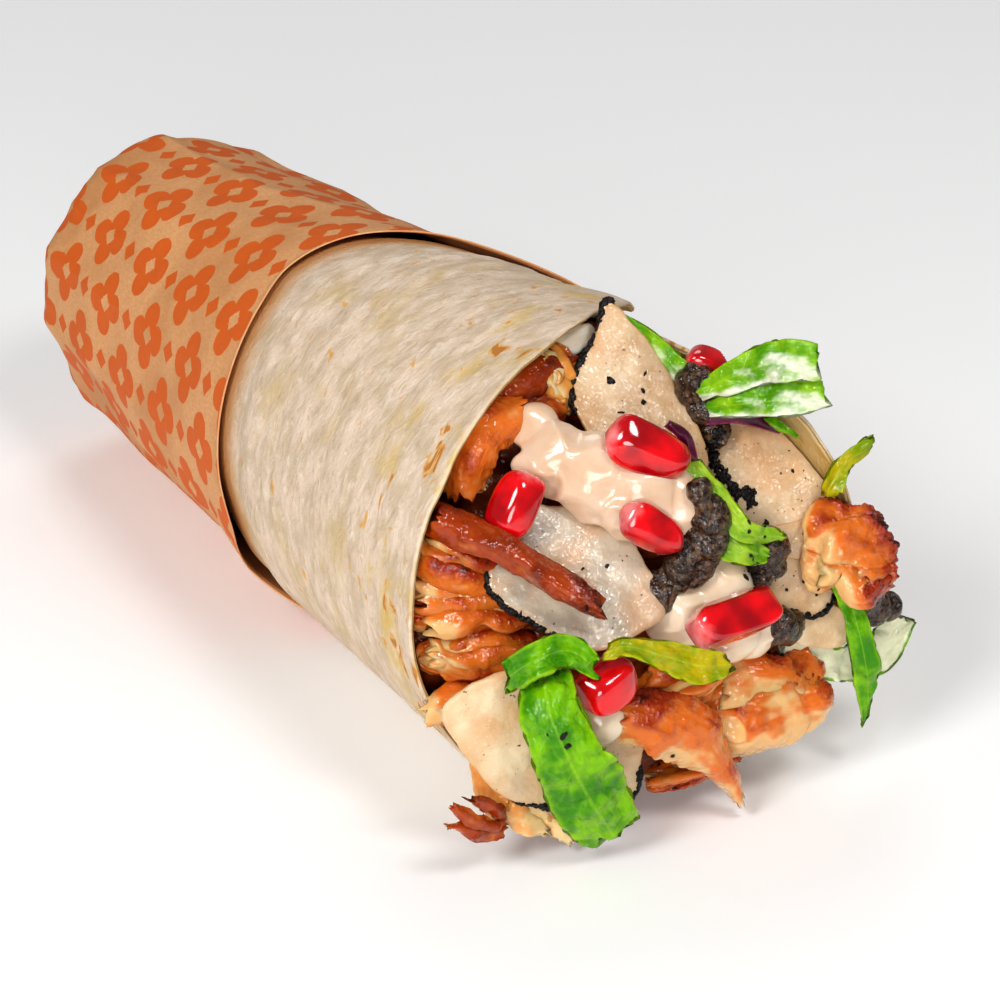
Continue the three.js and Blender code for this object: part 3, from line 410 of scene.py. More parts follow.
def remeshed(name, shapes, voxel, smoothing):
    """The shapes melted into one skin, as points and faces."""
    rough = object_of(name, mesh_of(name, joined(shapes)))
    melt = rough.modifiers.new("melt", "REMESH")
    melt.mode = "VOXEL"
    melt.voxel_size = voxel * MM
    soften = rough.modifiers.new("soften", "SMOOTH")
    soften.factor = 0.5
    soften.iterations = smoothing
    evaluated = rough.evaluated_get(bpy.context.evaluated_depsgraph_get())
    mesh = evaluated.to_mesh()
    points = np.array([v.co for v in mesh.vertices]) / MM
    quads = np.array([list(p.vertices) for p in mesh.polygons if len(p.vertices) == 4])
    tris = np.array([list(p.vertices) for p in mesh.polygons if len(p.vertices) == 3])
    evaluated.to_mesh_clear()
    bpy.data.objects.remove(rough)
    return Shape(points, quads, tris, points[:, [0, 2]])


# ---------------- materials

def srgb(red, green, blue):
    """A colour as it looks on a screen, from 0 to 255, as the shader's own numbers."""
    channels = np.array([red, green, blue]) / 255
    return (*np.where(channels > 0.04045, ((channels + 0.055) / 1.055) ** 2.4, channels / 12.92), 1.0)


class Term:
    """What a material's node gives, which can be reckoned with."""

    def __init__(self, finish, socket):
        self.finish, self.socket = finish, socket

    def __add__(self, other):
        return self.finish.math("ADD", self, other)

    def __mul__(self, other):
        return self.finish.math("MULTIPLY", self, other)

    def __sub__(self, other):
        return self.finish.math("SUBTRACT", self, other)

    def __rsub__(self, other):
        return self.finish.math("SUBTRACT", other, self)

    __radd__, __rmul__ = __add__, __mul__


class Finish:
    """A material under construction. Sizes are in mm, colours as they look on a screen."""

    def __init__(self, name, **shader):
        self.material = bpy.data.materials.new(name)
        self.material.use_nodes = True
        self.tree = self.material.node_tree
        self.set(**shader)

    def set(self, **shader):
        """Gives the shader its inputs, and returns the material."""
        for socket, value in shader.items():
            self.feed(self.tree.nodes["Principled BSDF"].inputs[socket.replace("_", " ")], value)
        return self.material

    def feed(self, socket, value):
        if isinstance(value, Term):
            self.tree.links.new(value.socket, socket)
        else:
            socket.default_value = value

    def node(self, kind, inputs, output=0, **settings):
        made = self.tree.nodes.new("ShaderNode" + kind)
        for key, value in settings.items():
            setattr(made, key, value)
        for socket, value in inputs.items():
            self.feed(made.inputs[socket], value)
        return Term(self, made.outputs[output])

    def place(self):
        return self.node("TexCoord", {}, "Object")

    def grain(self, across=1.0, along=1.0):
        uv = self.node("UVMap", {}, uv_map="grain")
        return self.node("VectorMath", {0: uv, 1: (across, along, 1.0)}, operation="MULTIPLY")

    def value(self, name):
        return self.node("Attribute", {}, "Fac", attribute_name=name)

    def noise(self, size, detail, roughness=0.55, vector=None, distortion=0.0, output="Fac"):
        return self.node("TexNoise", {
            "Vector": vector or self.place(), "Scale": 1 / (size * MM), "Detail": detail,
            "Roughness": roughness, "Distortion": distortion}, output)

    def cells(self, size, vector=None, feature="F1"):
        inputs = {"Vector": vector or self.place(), "Scale": 1 / (size * MM)}
        return self.node("TexVoronoi", inputs, "Distance", feature=feature)

    def shaken(self, place, size, distance, by):
        """The place, moved about by waves of a size."""
        wobble = self.noise(size, 2, 0.5, by, output="Color")
        inputs = {0: wobble, 1: (distance * MM, distance * MM, 0), 2: place}
        return self.node("VectorMath", inputs, operation="MULTIPLY_ADD")

    def math(self, operation, a, b=0.0):
        return self.node("Math", {0: a, 1: b}, operation=operation)

    def window(self, value, low, high):
        """0 below low, 1 above high, smooth between. high may be the lower one."""
        flipped = low > high
        inputs = {0: value, 1: min(low, high), 2: max(low, high), 3: float(flipped), 4: float(not flipped)}
        return self.node("MapRange", inputs, interpolation_type="SMOOTHSTEP")

    def mix(self, share, *colours):
        a, b = (srgb(*colour) if isinstance(colour, tuple) else colour for colour in colours)
        return self.node("Mix", {0: share, 6: a, 7: b}, 2, data_type="RGBA")

    def layered(self, base, *layers):
        """The base with further colours over it, each with its share."""
        for share, colour in layers:
            base = self.mix(share, base, colour)
        return base

    def bump(self, height, distance, *normal):
        inputs = {"Height": height, "Distance": distance * MM, "Strength": 1.0}
        return self.node("Bump", inputs | dict(zip(["Normal"], normal)))


def bread_material():
    f = Finish("bread", Subsurface_Weight=0.1, Subsurface_Scale=0.0015, Subsurface_Radius=(1.0, 0.55, 0.3),
               Specular_IOR_Level=0.2)
    streaks = f.noise(1.6, 4, 0.6, f.grain(0.62), 0.6)
    broad = f.noise(4.5, 3, 0.6, f.grain(0.75))
    fine = f.noise(0.6, 3, 0.6, f.grain(0.8))
    patches = f.noise(9, 3, 0.6, f.grain(0.8))
    near_mouth = f.value("near_mouth")
    clustered = f.window(f.noise(14, 2), 0.4, 0.62)
    spotty = f.noise(3.0, 3, 0.6, f.grain(0.6), 0.7) - (0.66 - 0.13 * (near_mouth * clustered))
    colour = f.layered(
        f.mix(f.window(broad, 0.34, 0.66), (206, 184, 158), (228, 206, 184)),
        (0.5 * f.window(streaks, 0.46, 0.3), (188, 162, 134)),
        (0.6 * f.window(streaks, 0.52, 0.72), (240, 226, 208)),
        (0.3 * f.window(fine, 0.42, 0.28), (176, 148, 112)),
        (f.window(patches, 0.5, 0.7) * (0.3 + 0.6 * near_mouth), (214, 182, 100)),
        (0.8 * f.window(spotty, -0.01, 0.05), (222, 164, 84)),
        (f.window(spotty, 0.04, 0.1) * (near_mouth + 0.2), (188, 126, 62)),
        # The darker golden-brown band by the paper's edge: partly an oil stain, partly painted shade cast by
        # the paper
        (0.85 * f.value("under_paper"), (184, 128, 66)),
        (f.value("inner"), (214, 182, 112)))
    return f.set(Base_Color=colour, Roughness=f.window(f.noise(5, 3), -0.8, 1.2),
                 Normal=f.bump(fine, 0.14, f.bump(streaks, 0.3)))


def paper_print(f, uv):
    """Staggered four-petal ornaments with small lozenges between them, 1 where there is ink."""
    petal_place, petal_radius, petal_blur, heart, lozenge, lozenge_blur = 3.3, 2.5, 0.08, 1.7, 2.0, 0.1
    uv = f.shaken(uv, 1.5, 0.35, uv)

    def folded(axis, shift):
        """The distance to the nearest line of the lattice, in mm."""
        pitch = PRINT_PITCHES[axis]
        place = f.node("SeparateXYZ", {0: uv}, axis) * (1 / MM) + shift * pitch
        return f.math("ABSOLUTE", f.node("Math", {0: place, 1: -pitch / 2, 2: pitch / 2}, operation="WRAP"))

    def ornament(shift):
        a, b = folded(0, shift), folded(1, shift)
        beyond, short = f.math("MAXIMUM", a, b) - petal_place, f.math("MINIMUM", a, b)
        distance = f.math("SQRT", beyond * beyond + short * short)
        petals = f.window(distance, petal_radius + petal_blur, petal_radius - petal_blur)
        return petals * f.window(a + b, heart - petal_blur, heart + petal_blur)

    def small(shift_around, shift_along):
        total = folded(0, shift_around) + folded(1, shift_along)
        return f.window(total, lozenge + lozenge_blur, lozenge - lozenge_blur)

    ink = ornament(0.0)
    for other in (ornament(0.5), small(0.5, 0.0), small(0.0, 0.5)):
        ink = f.math("MAXIMUM", ink, other)
    return ink


def paper_material():
    f = Finish("paper", Roughness=0.65, Specular_IOR_Level=0.25)
    fibres = f.noise(0.45, 4, 0.7, f.grain(1, 0.35))
    end_turn = (math.radians(90), math.radians(25), 0)
    end_place = f.node("Mapping", {"Vector": f.place(), "Rotation": end_turn})
    ink = f.mix(f.value("folded_end"), paper_print(f, f.grain()), paper_print(f, end_place))
    colour = f.layered(
        f.mix(f.window(fibres, 0.25, 0.75), (210, 152, 102), (224, 170, 120)),
        # Soft darker clouds: painted shade of the paper's creases, placed by noise
        (0.6 * f.window(f.noise(24, 4), 0.4, 0.66), (190, 130, 80)),
        (0.95 * (ink * f.window(fibres, 0.02, 0.35)), (212, 98, 26)),
        # The plain inside of the paper, and a painted highlight along the outer rim
        (f.value("lip"), (226, 172, 124)))
    return f.set(Base_Color=colour, Normal=f.bump(fibres, 0.04, f.bump(f.noise(7, 4), 0.5)))


def chicken_material(name, pale, golden, brown, char):
    """toast runs from pale meat at 0 to char at 1. Besides browning, it holds painted shade in the meat's
    creases.
    """
    f = Finish(name, Subsurface_Weight=0.35, Subsurface_Scale=0.0022, Subsurface_Radius=(1.0, 0.36, 0.1),
               Coat_Weight=1.0, Coat_Roughness=0.07, Coat_IOR=1.5, Specular_IOR_Level=0.0)
    fibre = f.noise(0.9, 4, 0.6, f.grain(1, 0.14))
    toast = f.value("toast") + 0.9 * (f.noise(4.4, 3, 0.5) - 0.5) + 0.16 * (fibre - 0.5)
    speckled = toast + 1.0 * (f.noise(0.6, 2, 0.6) - 0.5)
    colour = f.layered(
        f.mix(f.window(toast, 0.0, 0.36), pale, golden),
        (f.window(toast, 0.4, 0.85), brown),
        (f.window(speckled, 0.88, 1.15), char))
    crust = f.noise(0.9, 2, 0.5) * f.window(toast, 0.3, 0.75)
    return f.set(Base_Color=colour, Roughness=f.window(f.noise(1.6, 3), -0.1, 1.3),
                 Normal=f.bump(crust, 0.45, f.bump(fibre, 0.06)),
                 Coat_Normal=f.bump(crust, 0.45, f.bump(f.noise(1.7, 2, 0.5), 0.55)))


def truffle_material(name, light, deep, coat):
    f = Finish(name, Subsurface_Weight=0.3, Subsurface_Scale=0.0025, Subsurface_Radius=(1.0, 0.6, 0.35),
               Coat_Weight=coat, Coat_Roughness=0.1, Specular_IOR_Level=0.2)
    tint = f.noise(11, 2, 0.5)
    flesh = f.layered(
        f.mix(f.window(f.noise(6.5, 4), 0.36, 0.66), light, deep),
        (0.45 * f.window(tint, 0.5, 0.66), (226, 168, 118)),
        # The greyish patches are painted shade, placed by noise
        (0.45 * f.window(tint, 0.46, 0.3), (188, 168, 152)),
        (0.3 * f.window(f.noise(0.5, 2), 0.6, 0.72), (250, 236, 214)),
        (0.4 * f.window(f.value("rim"), 0.86, 1.0), (206, 150, 92)),
        (f.window(f.noise(0.6, 2), 0.66, 0.7) * f.window(f.noise(3.2, 1), 0.54, 0.62), (60, 34, 22)))
    return f.set(Base_Color=flesh, Roughness=f.window(f.noise(2.5, 3), -0.3, 1.7),
                 Normal=f.bump(f.noise(0.5, 3), 0.08, f.bump(f.noise(2.6, 2), 0.3)),
                 Coat_Normal=f.bump(f.noise(0.6, 1), 0.15, f.bump(f.noise(1.8, 3, 0.6), 0.3)))


def rind_material():
    f = Finish("rind", Roughness=0.4, Specular_IOR_Level=0.35)
    return f.set(Base_Color=f.mix(f.window(f.noise(0.7, 3), 0.45, 0.75), (14, 10, 9), (50, 38, 32)),
                 Normal=f.bump(f.noise(0.3, 3), 0.1))


def sauce_material(name, light, deep):
    f = Finish(name, Subsurface_Weight=0.25, Subsurface_Scale=0.002, Subsurface_Radius=(1.0, 0.6, 0.4),
               Coat_Weight=0.6, Coat_Roughness=0.05, Specular_IOR_Level=0.35)
    return f.set(Base_Color=f.mix(f.window(f.noise(6, 3), 0.35, 0.7), light, deep),
                 Roughness=f.window(f.noise(3, 2), -0.2, 2.4), Normal=f.bump(f.noise(1.4, 3), 0.1))


def seed_material():
    """tip is -1 at the pale end and 1 at the other one."""
    f = Finish("seed", Roughness=0.12, IOR=1.38, Subsurface_Weight=0.3, Subsurface_Scale=0.003,
               Subsurface_Radius=(1.0, 0.08, 0.08), Coat_Weight=1.0, Coat_Roughness=0.04)
    tip = f.value("tip") + 0.6 * (f.noise(2.4, 2) - 0.5)
    red = f.mix(f.window(f.noise(4.5, 2, 0.4), 0.3, 0.72), (236, 4, 22), (158, 0, 14))
    return f.set(Base_Color=f.mix(f.window(tip, -0.66, -1.1), red, (246, 150, 150)),
                 Normal=f.bump(f.noise(1.6, 2), 0.06))


def paste_material():
    f = Finish("paste", Coat_Weight=1.0, Coat_Roughness=0.08, Specular_IOR_Level=0.1)
    return f.set(Base_Color=f.mix(f.window(f.noise(0.9, 4), 0.42, 0.7), (40, 24, 15), (104, 76, 52)),
                 Roughness=f.window(f.noise(0.9, 3), -0.1, 1.6),
                 Normal=f.bump(f.cells(0.7), 0.3, f.bump(f.noise(0.4, 3), 0.15)),
                 Coat_Normal=f.bump(f.noise(0.8, 2), 0.4))


def leaf_material(name, light, dark, cream=0.0, rib=False):
    """across runs from -1 to 1 over the leaf. cream is how much of it is smeared with sauce. A rib is
    pale but for its edges."""
    f = Finish(name, Subsurface_Weight=0.15, Subsurface_Scale=0.001, Subsurface_Radius=(0.5, 1.0, 0.1),
               Coat_Weight=0.5, Coat_Roughness=0.1, Specular_IOR_Level=0.05)
    net = f.cells(3.6, f.shaken(f.grain(1, 0.6), 2.2, 2.2, f.grain()), "DISTANCE_TO_EDGE")
    across = f.math("ABSOLUTE", f.value("across"))
    vein = f.math("MAXIMUM", 0.4 * f.window(net, 0.05, 0.0), f.window(across, 0.07, 0.02))
    # The lighter yellow-green along the leaf's edges is a painted highlight
    layers = [(0.22 * vein, (176, 220, 60)), (0.35 * f.window(across, 0.82, 1.0), (176, 206, 24))]
    if rib:
        uneven = across + 0.7 * (f.noise(2.5, 3) - 0.5)
        layers.append((f.window(uneven, 0.95, 0.8), (240, 240, 206)))
    if cream:
        field = f.noise(5.0, 4, 0.5, f.grain(1, 0.6)) + -0.12 * f.value("across")
        smeared = f.window(field, 0.64 - 0.3 * cream, 0.76 - 0.3 * cream)
        layers.append((0.88 * smeared, (232, 234, 212)))
    wavy = f.noise(2.0, 2, vector=f.grain(1, 0.6))
    return f.set(Base_Color=f.layered(f.mix(f.window(f.noise(4.5, 3), 0.36, 0.66), dark, light), *layers),
                 Roughness=f.window(f.noise(1.4, 3), -0.2, 1.9),
                 Normal=f.bump(f.noise(0.4, 3), 0.04, f.bump(wavy, 1.0)),
                 Coat_Normal=f.bump(f.noise(0.9, 2), 0.25, f.bump(wavy, 1.2)))


def shred_material(name, light, dark, edge):
    f = Finish(name, Subsurface_Weight=0.1, Subsurface_Scale=0.001, Coat_Weight=0.4, Coat_Roughness=0.1,
               Specular_IOR_Level=0.3)
    base = f.mix(f.window(f.noise(1.8, 3, vector=f.grain(1, 0.2)), 0.35, 0.7), dark, light)
    near_edge = f.window(f.math("ABSOLUTE", f.value("across")), 0.75, 1.0)
    return f.set(Base_Color=f.mix(near_edge, base, edge), Roughness=f.window(f.noise(1.5, 2), -0.2, 2.0),
                 Normal=f.bump(f.noise(0.6, 3, vector=f.grain(1, 0.2)), 0.12))


MATERIALS = {"bread": bread_material(), "paper": paper_material(), "rind": rind_material(),
             "seed": seed_material(), "paste": paste_material()}
KINDS = {
    chicken_material: {
        "chicken": ((228, 180, 120), (216, 114, 38), (156, 48, 10), (64, 16, 5)),
        "chicken_pale": ((242, 206, 150), (226, 150, 72), (170, 74, 22), (84, 26, 8)),
        "chicken_dark": ((214, 122, 48), (158, 60, 12), (102, 28, 6), (44, 10, 4)),
        # The filling deep in the roll: a darker copy of the chicken colours, as painted shade
        "filling": ((190, 104, 48), (140, 62, 24), (90, 34, 14), (40, 14, 8)),
    },
    truffle_material: {
        "truffle": ((221, 192, 157), (196, 160, 120), 0.7),
        # A lighter copy of the truffle colours: painted light for slices that lie in shade
        "truffle_light": ((242, 216, 180), (220, 184, 140), 0.7),
        "truffle_wet": ((212, 198, 176), (176, 164, 146), 1.0),
    },
    sauce_material: {
        "sauce": ((224, 196, 170), (216, 182, 150)),
        "sauce_light": ((240, 222, 196), (232, 206, 174)),
    },
    leaf_material: {
        "leaf": ((126, 184, 4), (62, 134, 2)),
        "leaf_yellow": ((186, 168, 16), (126, 148, 8)),
        "leaf_light": ((160, 190, 52), (108, 156, 26)),
        "leaf_creamy": ((140, 188, 30), (82, 146, 14), 0.55),
        "leaf_rib": ((110, 170, 20), (44, 116, 10), 0.0, True),
    },
    shred_material: {
        "cabbage": ((116, 26, 66), (62, 10, 38), (170, 74, 118)),
        "onion": ((250, 242, 226), (232, 218, 196), (252, 246, 236)),
    },
}
for make, kinds in KINDS.items():
    MATERIALS.update({name: make(name, *settings) for name, settings in kinds.items()})


# ---------------- the roll

def radius_at(along):
    return lerp(MOUTH_RADIUS, TAIL_RADIUS, np.asarray(along) / CONE_LENGTH)


def axis_height(along):
    rise = TAIL_RISE * smoothstep(along, RISE_START, CONE_LENGTH)
    return radius_at(along) * HEIGHT_OVER_WIDTH - FLATTENING + rise


def skin_point(turn, along, depth, rest, shrink=1.0):
    """turn is in degrees, anticlockwise as seen from the mouth, from the right-hand side. rest is the
    lowest that a point may lie."""
    angle = np.radians(turn)
    radius = (radius_at(along) - depth) * shrink
    up = axis_height(along) + radius * HEIGHT_OVER_WIDTH * np.sin(angle)
    return stacked(radius * np.cos(angle), MOUTH_Y + along, np.maximum(up, rest))


# Where the edges lie along the roll and how far the paper flares there, in mm, against the turn
paper_edge = curve_through([
    (0, 46), (30, 43), (45, 44), (55, 48), (65, 56), (75, 66), (85, 71), (100, 76), (118, 78), (132, 76),
    (150, 74), (180, 72), (196, 70), (208, 72), (218, 73.5), (228, 70), (250, 64), (280, 60), (320, 53),
    (360, 46),
])
bread_edge = curve_through([
    (50, 35), (58, 31), (65, 26.5), (72, 22.5), (80, 20), (87, 17.5), (102, 13), (120, 10.5), (150, 6.8),
    (200, 6.5), (235, 6.5), (290, 6), (315, 3), (335, -2), (352, -5.5), (370, -5.5), (390, -4.5),
    (403, -4), (410, 0), (420, 20), (432, 28), (450, 33),
])
paper_flare = curve_through([
    (0, 0.2), (45, 0.2), (75, 0.5), (120, 0.15), (170, 0.2), (195, 0.7), (212, 1.1), (240, 0.3), (360, 0.2),
])


def tuck(turn, along):
    """How far the bread is drawn in under the paper."""
    edge = paper_edge(np.mod(turn, 360))
    return (PAPER_THICKNESS + PAPER_GAP) * smoothstep(along - edge, -10, -3)


def bread_depth(turn, along):
    """How far the bread's outside lies inside the round. Its second ply goes under the first, its free
    end stands a little off, and it ripples where no paper holds it."""
    ply = (BREAD_THICKNESS + PLY_GAP) * smoothstep(turn, 345, 409)
    open_share = 1 - smoothstep(along, 34, 44)
    ripple = np.sin(np.radians(turn * 4)) + np.sin(np.radians(turn * 3) + along / 24)
    near_end = 1 - smoothstep(turn, BREAD_FREE_END, BREAD_FREE_END + 25)
    free_lift = FREE_END_LIFT * near_end * (1 - smoothstep(along, 34, 43))
    return ply + 0.18 * open_share * ripple - free_lift


def flatbread():
    """One sheet, rolled a little over one turn, with a thin rounded rim. A row of the grid runs from its
    hidden end over its inner face, round the rim and back over its outer face."""
    open_columns, hidden_columns, inner_columns, rim_columns = 100, 6, 22, 5
    mean_radius, rim_bulge, under_sleeve = 31, 0.35, 1.5
    turns = np.linspace(BREAD_FREE_END, BREAD_INNER_END, 380)[:, None]
    sleeve = paper_edge(np.mod(turns, 360))
    edge = bread_edge(turns) + 0.45 * fractal(stacked(turns * 0.55, 0, 0), 9.0, 4, 4)
    bulge = np.linspace(-math.pi / 2, math.pi / 2, rim_columns + 2)[1:-1]
    along = np.concatenate([
        lerp(edge, BREAD_END, np.linspace(0, 1, inner_columns) ** 2.2)[:, ::-1],
        edge - rim_bulge * np.cos(bulge),
        lerp(edge, sleeve + under_sleeve, np.linspace(0, 1, open_columns) ** 1.1),
        lerp(sleeve + under_sleeve, BREAD_END, np.linspace(0, 1, hidden_columns + 1)[1:]),
    ], axis=1)
    share = np.r_[np.ones(inner_columns), 0.5 - 0.5 * np.sin(bulge), np.zeros(open_columns + hidden_columns)]
    arc = np.radians(turns) * mean_radius
    place = stacked(arc, along, 0)
    puff = 0.15 * fractal(place, (11, 8, 1), 3, 7) + 0.09 * fractal(place, (5, 1.6, 1), 2, 9)
    shown = 1 - smoothstep(along - sleeve, -4, -1)
    rest = tuck(turns, along)
    hidden = HIDDEN_ROOM * smoothstep(along - sleeve, 3, 14)
    thickness = BREAD_THICKNESS * (1 + 0.12 * noise(place, (14, 60, 1), 3))
    thickness = thickness * lerp(0.5, 1, smoothstep(along - edge, 0, 9))
    depth = bread_depth(turns, along) + rest + hidden - puff * shown + thickness * share
    points = skin_point(turns, along, depth, rest + thickness * share)
    rows, columns = along.shape
    half = np.arange(columns // 2)

    def end_quads(row):
        """Closes one of the sheet's two long ends, between its outer and inner face."""
        start, stop = row + half, row + columns - 1 - half
        return np.stack([start[:-1], start[1:], stop[1:], stop[:-1]], axis=1)

    quads = [grid_quads(rows, columns), end_quads(0)[:, ::-1], end_quads((rows - 1) * columns)]
    grain = stacked(arc + BREAD_FACES * (share > 0.5), along)
    values = {"near_mouth": 1 - smoothstep(along - edge, 1, 24), "inner": share * 0.8,
              # Near the paper's edge: an oil stain and painted shade from the paper
              "under_paper": smoothstep(along - sleeve, -5.5, 0.5)}
    values = {key: np.broadcast_to(value, along.shape).reshape(-1) for key, value in values.items()}
    shape = Shape(points.reshape(-1, 3), np.concatenate(quads), [], grain.reshape(-1, 2), **values)
    return piece("flatbread_skin", shape, MATERIALS["bread"], ["flatbread"])


def crumple(turn, tail):
    """How deep the paper's folds go at its end."""
    folds = 0.9 + np.sin(np.radians(turn * 6) + 0.7) + np.sin(np.radians(turn * 9) + 2.1)
    return 0.35 * tail * folds


def flat_facets(turns, share):
    """How far flat stretches between lengthwise creases lie inside the round, towards the tail."""
    creases = np.array(PAPER_CREASES)
    turns = np.where(turns >= creases[-1], turns - 360, turns)
    after = np.clip(np.searchsorted(creases, turns, side="right"), 1, len(creases) - 1)
    middle, half = (creases[after] + creases[after - 1]) / 2, (creases[after] - creases[after - 1]) / 2
    inside = np.cos(np.radians(half)) / np.cos(np.radians(turns - middle))
    return TAIL_RADIUS * (1 - inside) * share


def paper_sleeve():
    """A thin sheet, closed over the tail. Its rings run over the outside from the tail to the slanting
    edge and back over the inside, where fewer of them will do."""
    turns = np.linspace(0, 360, 380, endpoint=False)
    body = np.r_[np.linspace(0, 3, 7), np.linspace(4, 100, 76)][:, None] / 100
    folds = np.linspace(0, 1, 34)[1:-1][:, None]
    edge = paper_edge(turns)
    end = np.full((len(folds), len(turns)), PAPER_SHOULDER)
    along = np.concatenate([lerp(edge, PAPER_SHOULDER, body), end])
    fold = np.concatenate([np.zeros_like(body), folds])
    angle = fold * math.pi / 2
    around, radius = np.radians(turns), 26
    place = stacked(radius * np.cos(around), along + radius * fold, radius * np.sin(around))
    inward = smoothstep(along - edge, 2, 18)
    soft = 0.9 * np.abs(fractal(place, (15, 40, 15), 3, 21)) * inward
    dents = 0.5 * smoothstep(noise(place, (12, 18, 12), 5), 0.1, 0.8) * inward
    crumpled = 0.9 * fold * np.abs(fractal(place, (9, 9, 9), 3, 2))
    flats = flat_facets(turns, smoothstep(along, 84, 146)) + crumpled
    flare = paper_flare(turns) * (1 - smoothstep(along - edge, 0, 16))
    curl = 0.35 * (1 - smoothstep(along - edge, 0, 1.6))
    kept = np.r_[0:9, 12:len(along) - 1:4]

    def layer(lift):
        """The sheet at a distance from its outside, which counts outwards."""
        depth = -lift - flare - curl + crumple(turns, smoothstep(fold, 0, 0.5)) + soft + dents + flats
        shrink = np.cos(angle) ** (2 / TAIL_SQUARENESS)
        points = skin_point(turns, along, np.minimum(depth, DEEPEST_DENT - lift), -lift, shrink)
        points[..., 1] += (TAIL_REACH + lift) * np.sin(angle) ** (2 / TAIL_SQUARENESS)
        return points

    def both(outer, inner):
        return np.concatenate([outer[::-1], inner[kept]])

    rings = both(layer(0.0), layer(-lerp(PAPER_RIM, PAPER_WALL, inward)))
    flat = stacked(turns / 360 * PRINT_ROUND, along + 30 * fold)
    ended = smoothstep(fold, 0.3, 0.34)
    middle = skin_point(0, PAPER_SHOULDER, 0, 0, 0)
    tips = [middle + (0, TAIL_REACH, 0), middle + (0, TAIL_REACH - PAPER_WALL, 0)]
    shape = lofted(rings, both(flat, flat + (2 * PRINT_ROUND, 0)), tips, folded_end=both(ended, ended),
                   # The inside is plain paper; the lighter band along the outer rim is a painted highlight
                   lip=both(0.6 * (1 - smoothstep(along - edge, 0.1, 0.9)), np.ones_like(along)))
    shape.around = PRINT_ROUND
    return piece("paper_sleeve_skin", shape, MATERIALS["paper"], ["paper_sleeve"])


def core_front(x, z):
    """How far behind the mouth the core's front lies: more so higher up and towards the sides."""
    lean = 24 * smoothstep(z, 26, 62) + 9 * smoothstep(-x, 8, 28) + 3 * smoothstep(x, 18, 30)
    return lean - 3 + 1.2 * lumps(stacked(x, 0, z), 14, 3)


def filling_core():
    """The filling behind the pieces: torn meat with a deep uneven front, in colours darker than the other
    meat as painted shade.
    """
    front, rest, one_ply, another_ply = 10.0, 2.85, 2.25, 1.95
    turns = np.linspace(0, 360, 180, endpoint=False)
    wall_depth = one_ply + np.where((turns < 90) | (turns > 345), another_ply, 0.0)
    rim = skin_point(turns, front, wall_depth, rest)
    shares = np.linspace(0.02, 1, 70)[:, None]
    x, z = rim[:, 0] * shares, lerp(axis_height(front), rim[:, 2], shares)
    place = stacked(x, 0, z)
    relief = 1.6 * fractal(place, (7, 1, 2.6), 3, 5) + 0.8 * np.abs(noise(place, (2.4, 1, 1.2), 8))
    y = MOUTH_Y + core_front(x, z) + 4 * shares ** 6 - relief * (1 - 0.7 * shares ** 8) + 0.8
    down = np.array([0.02, 0.2, 0.5, 0.8, 0.95])[:, None]
    rings = np.concatenate([
        stacked(x, y, z),
        skin_point(turns, lerp(y[-1] - MOUTH_Y, CORE_END, down), wall_depth, rest),
        skin_point(turns, CORE_END, wall_depth, rest, np.array([[0.8], [0.4]])),
    ])
    toast = np.full(rings.shape[:2], 0.6)
    toast[:len(shares)] = 0.55 + 0.25 * noise(place, 5, 3)
    tips = np.array([[0, y[0].mean(), axis_height(front)], [0, MOUTH_Y + CORE_END, axis_height(CORE_END)]])
    shape = lofted(rings, rings[..., [2, 0]], tips, toast=toast)
    return piece("filling_meat", shape, MATERIALS["filling"], ["filling_core"])


# ---------------- the filling's pieces

def inside_bread(points):
    """The points, with those that would poke through the bread drawn in under it."""
    x, y, z = points.T
    along = y - MOUTH_Y
    middle = axis_height(along)
    up = (z - middle) / HEIGHT_OVER_WIDTH
    angle = np.mod(np.degrees(np.arctan2(up, x)), 360)
    turn = np.where(angle < BREAD_INNER_END - 360, angle + 360, angle)
    wall = radius_at(along) - bread_depth(turn, along) - tuck(turn, along) - BREAD_THICKNESS - BREAD_GAP
    beyond_rim = OVER_RIM * (1 - smoothstep(along - bread_edge(turn), -3, 0.5))
    drawn = np.minimum(1, (wall + beyond_rim) / np.maximum(np.hypot(x, up), 1e-6))
    floor = np.where(along > bread_edge(turn), BREAD_THICKNESS + BREAD_GAP, 0.0)
    return stacked(x * drawn, y, np.maximum(middle + up * drawn * HEIGHT_OVER_WIDTH, floor))


def food(name, form, shape, kind, nodes=None):
    """A piece of the filling, which stands for the CAD node of its name unless nodes says otherwise."""
    shape.points = inside_bread(shape.points)
    SURFACES.append(shape)
    return piece(f"{name}_{form}", shape, MATERIALS[kind], [name] if nodes is None else nodes)


def meat_relief(shape, seed, fibre, crag, crease, crust=(0, 0, 0), grains=0.2):
    """Fibres and creases along the grain, crags and a grainy crust. crust points, as right, forward
    and up, to the side that browned most, and its length says how much more."""
    u, v = shape.grain.T
    lines = stacked(u, v / 7, seed * 3.1)
    strands = fractal(lines, (0.9, 0.9, 1), 3, seed)
    parting = np.exp(-(noise(lines + 9, (3.0, 1.6, 1), seed + 3) / 0.14) ** 2)
    crags = fractal(shape.points, 2.8, 3, seed + 5)
    browned = shape.normals() @ (np.array(crust) * (1, -1, 1))
    # The creases are darkened with painted shade, added to the browning value
    toast = shape.values["toast"] + browned + 0.18 * crags + 0.12 * strands + 0.8 * crease * parting
    crusty = smoothstep(toast, 0.5, 0.85)
    granules = np.abs(fractal(shape.points, 0.9, 2, seed + 9))
    relief = fibre * strands * (1 - 0.6 * crusty) + crag * crags + grains * granules * crusty
    shape.push(relief - crease * parting)
    shape.values["toast"] = toast + 0.25 * (granules - 0.3) * crusty
    return shape


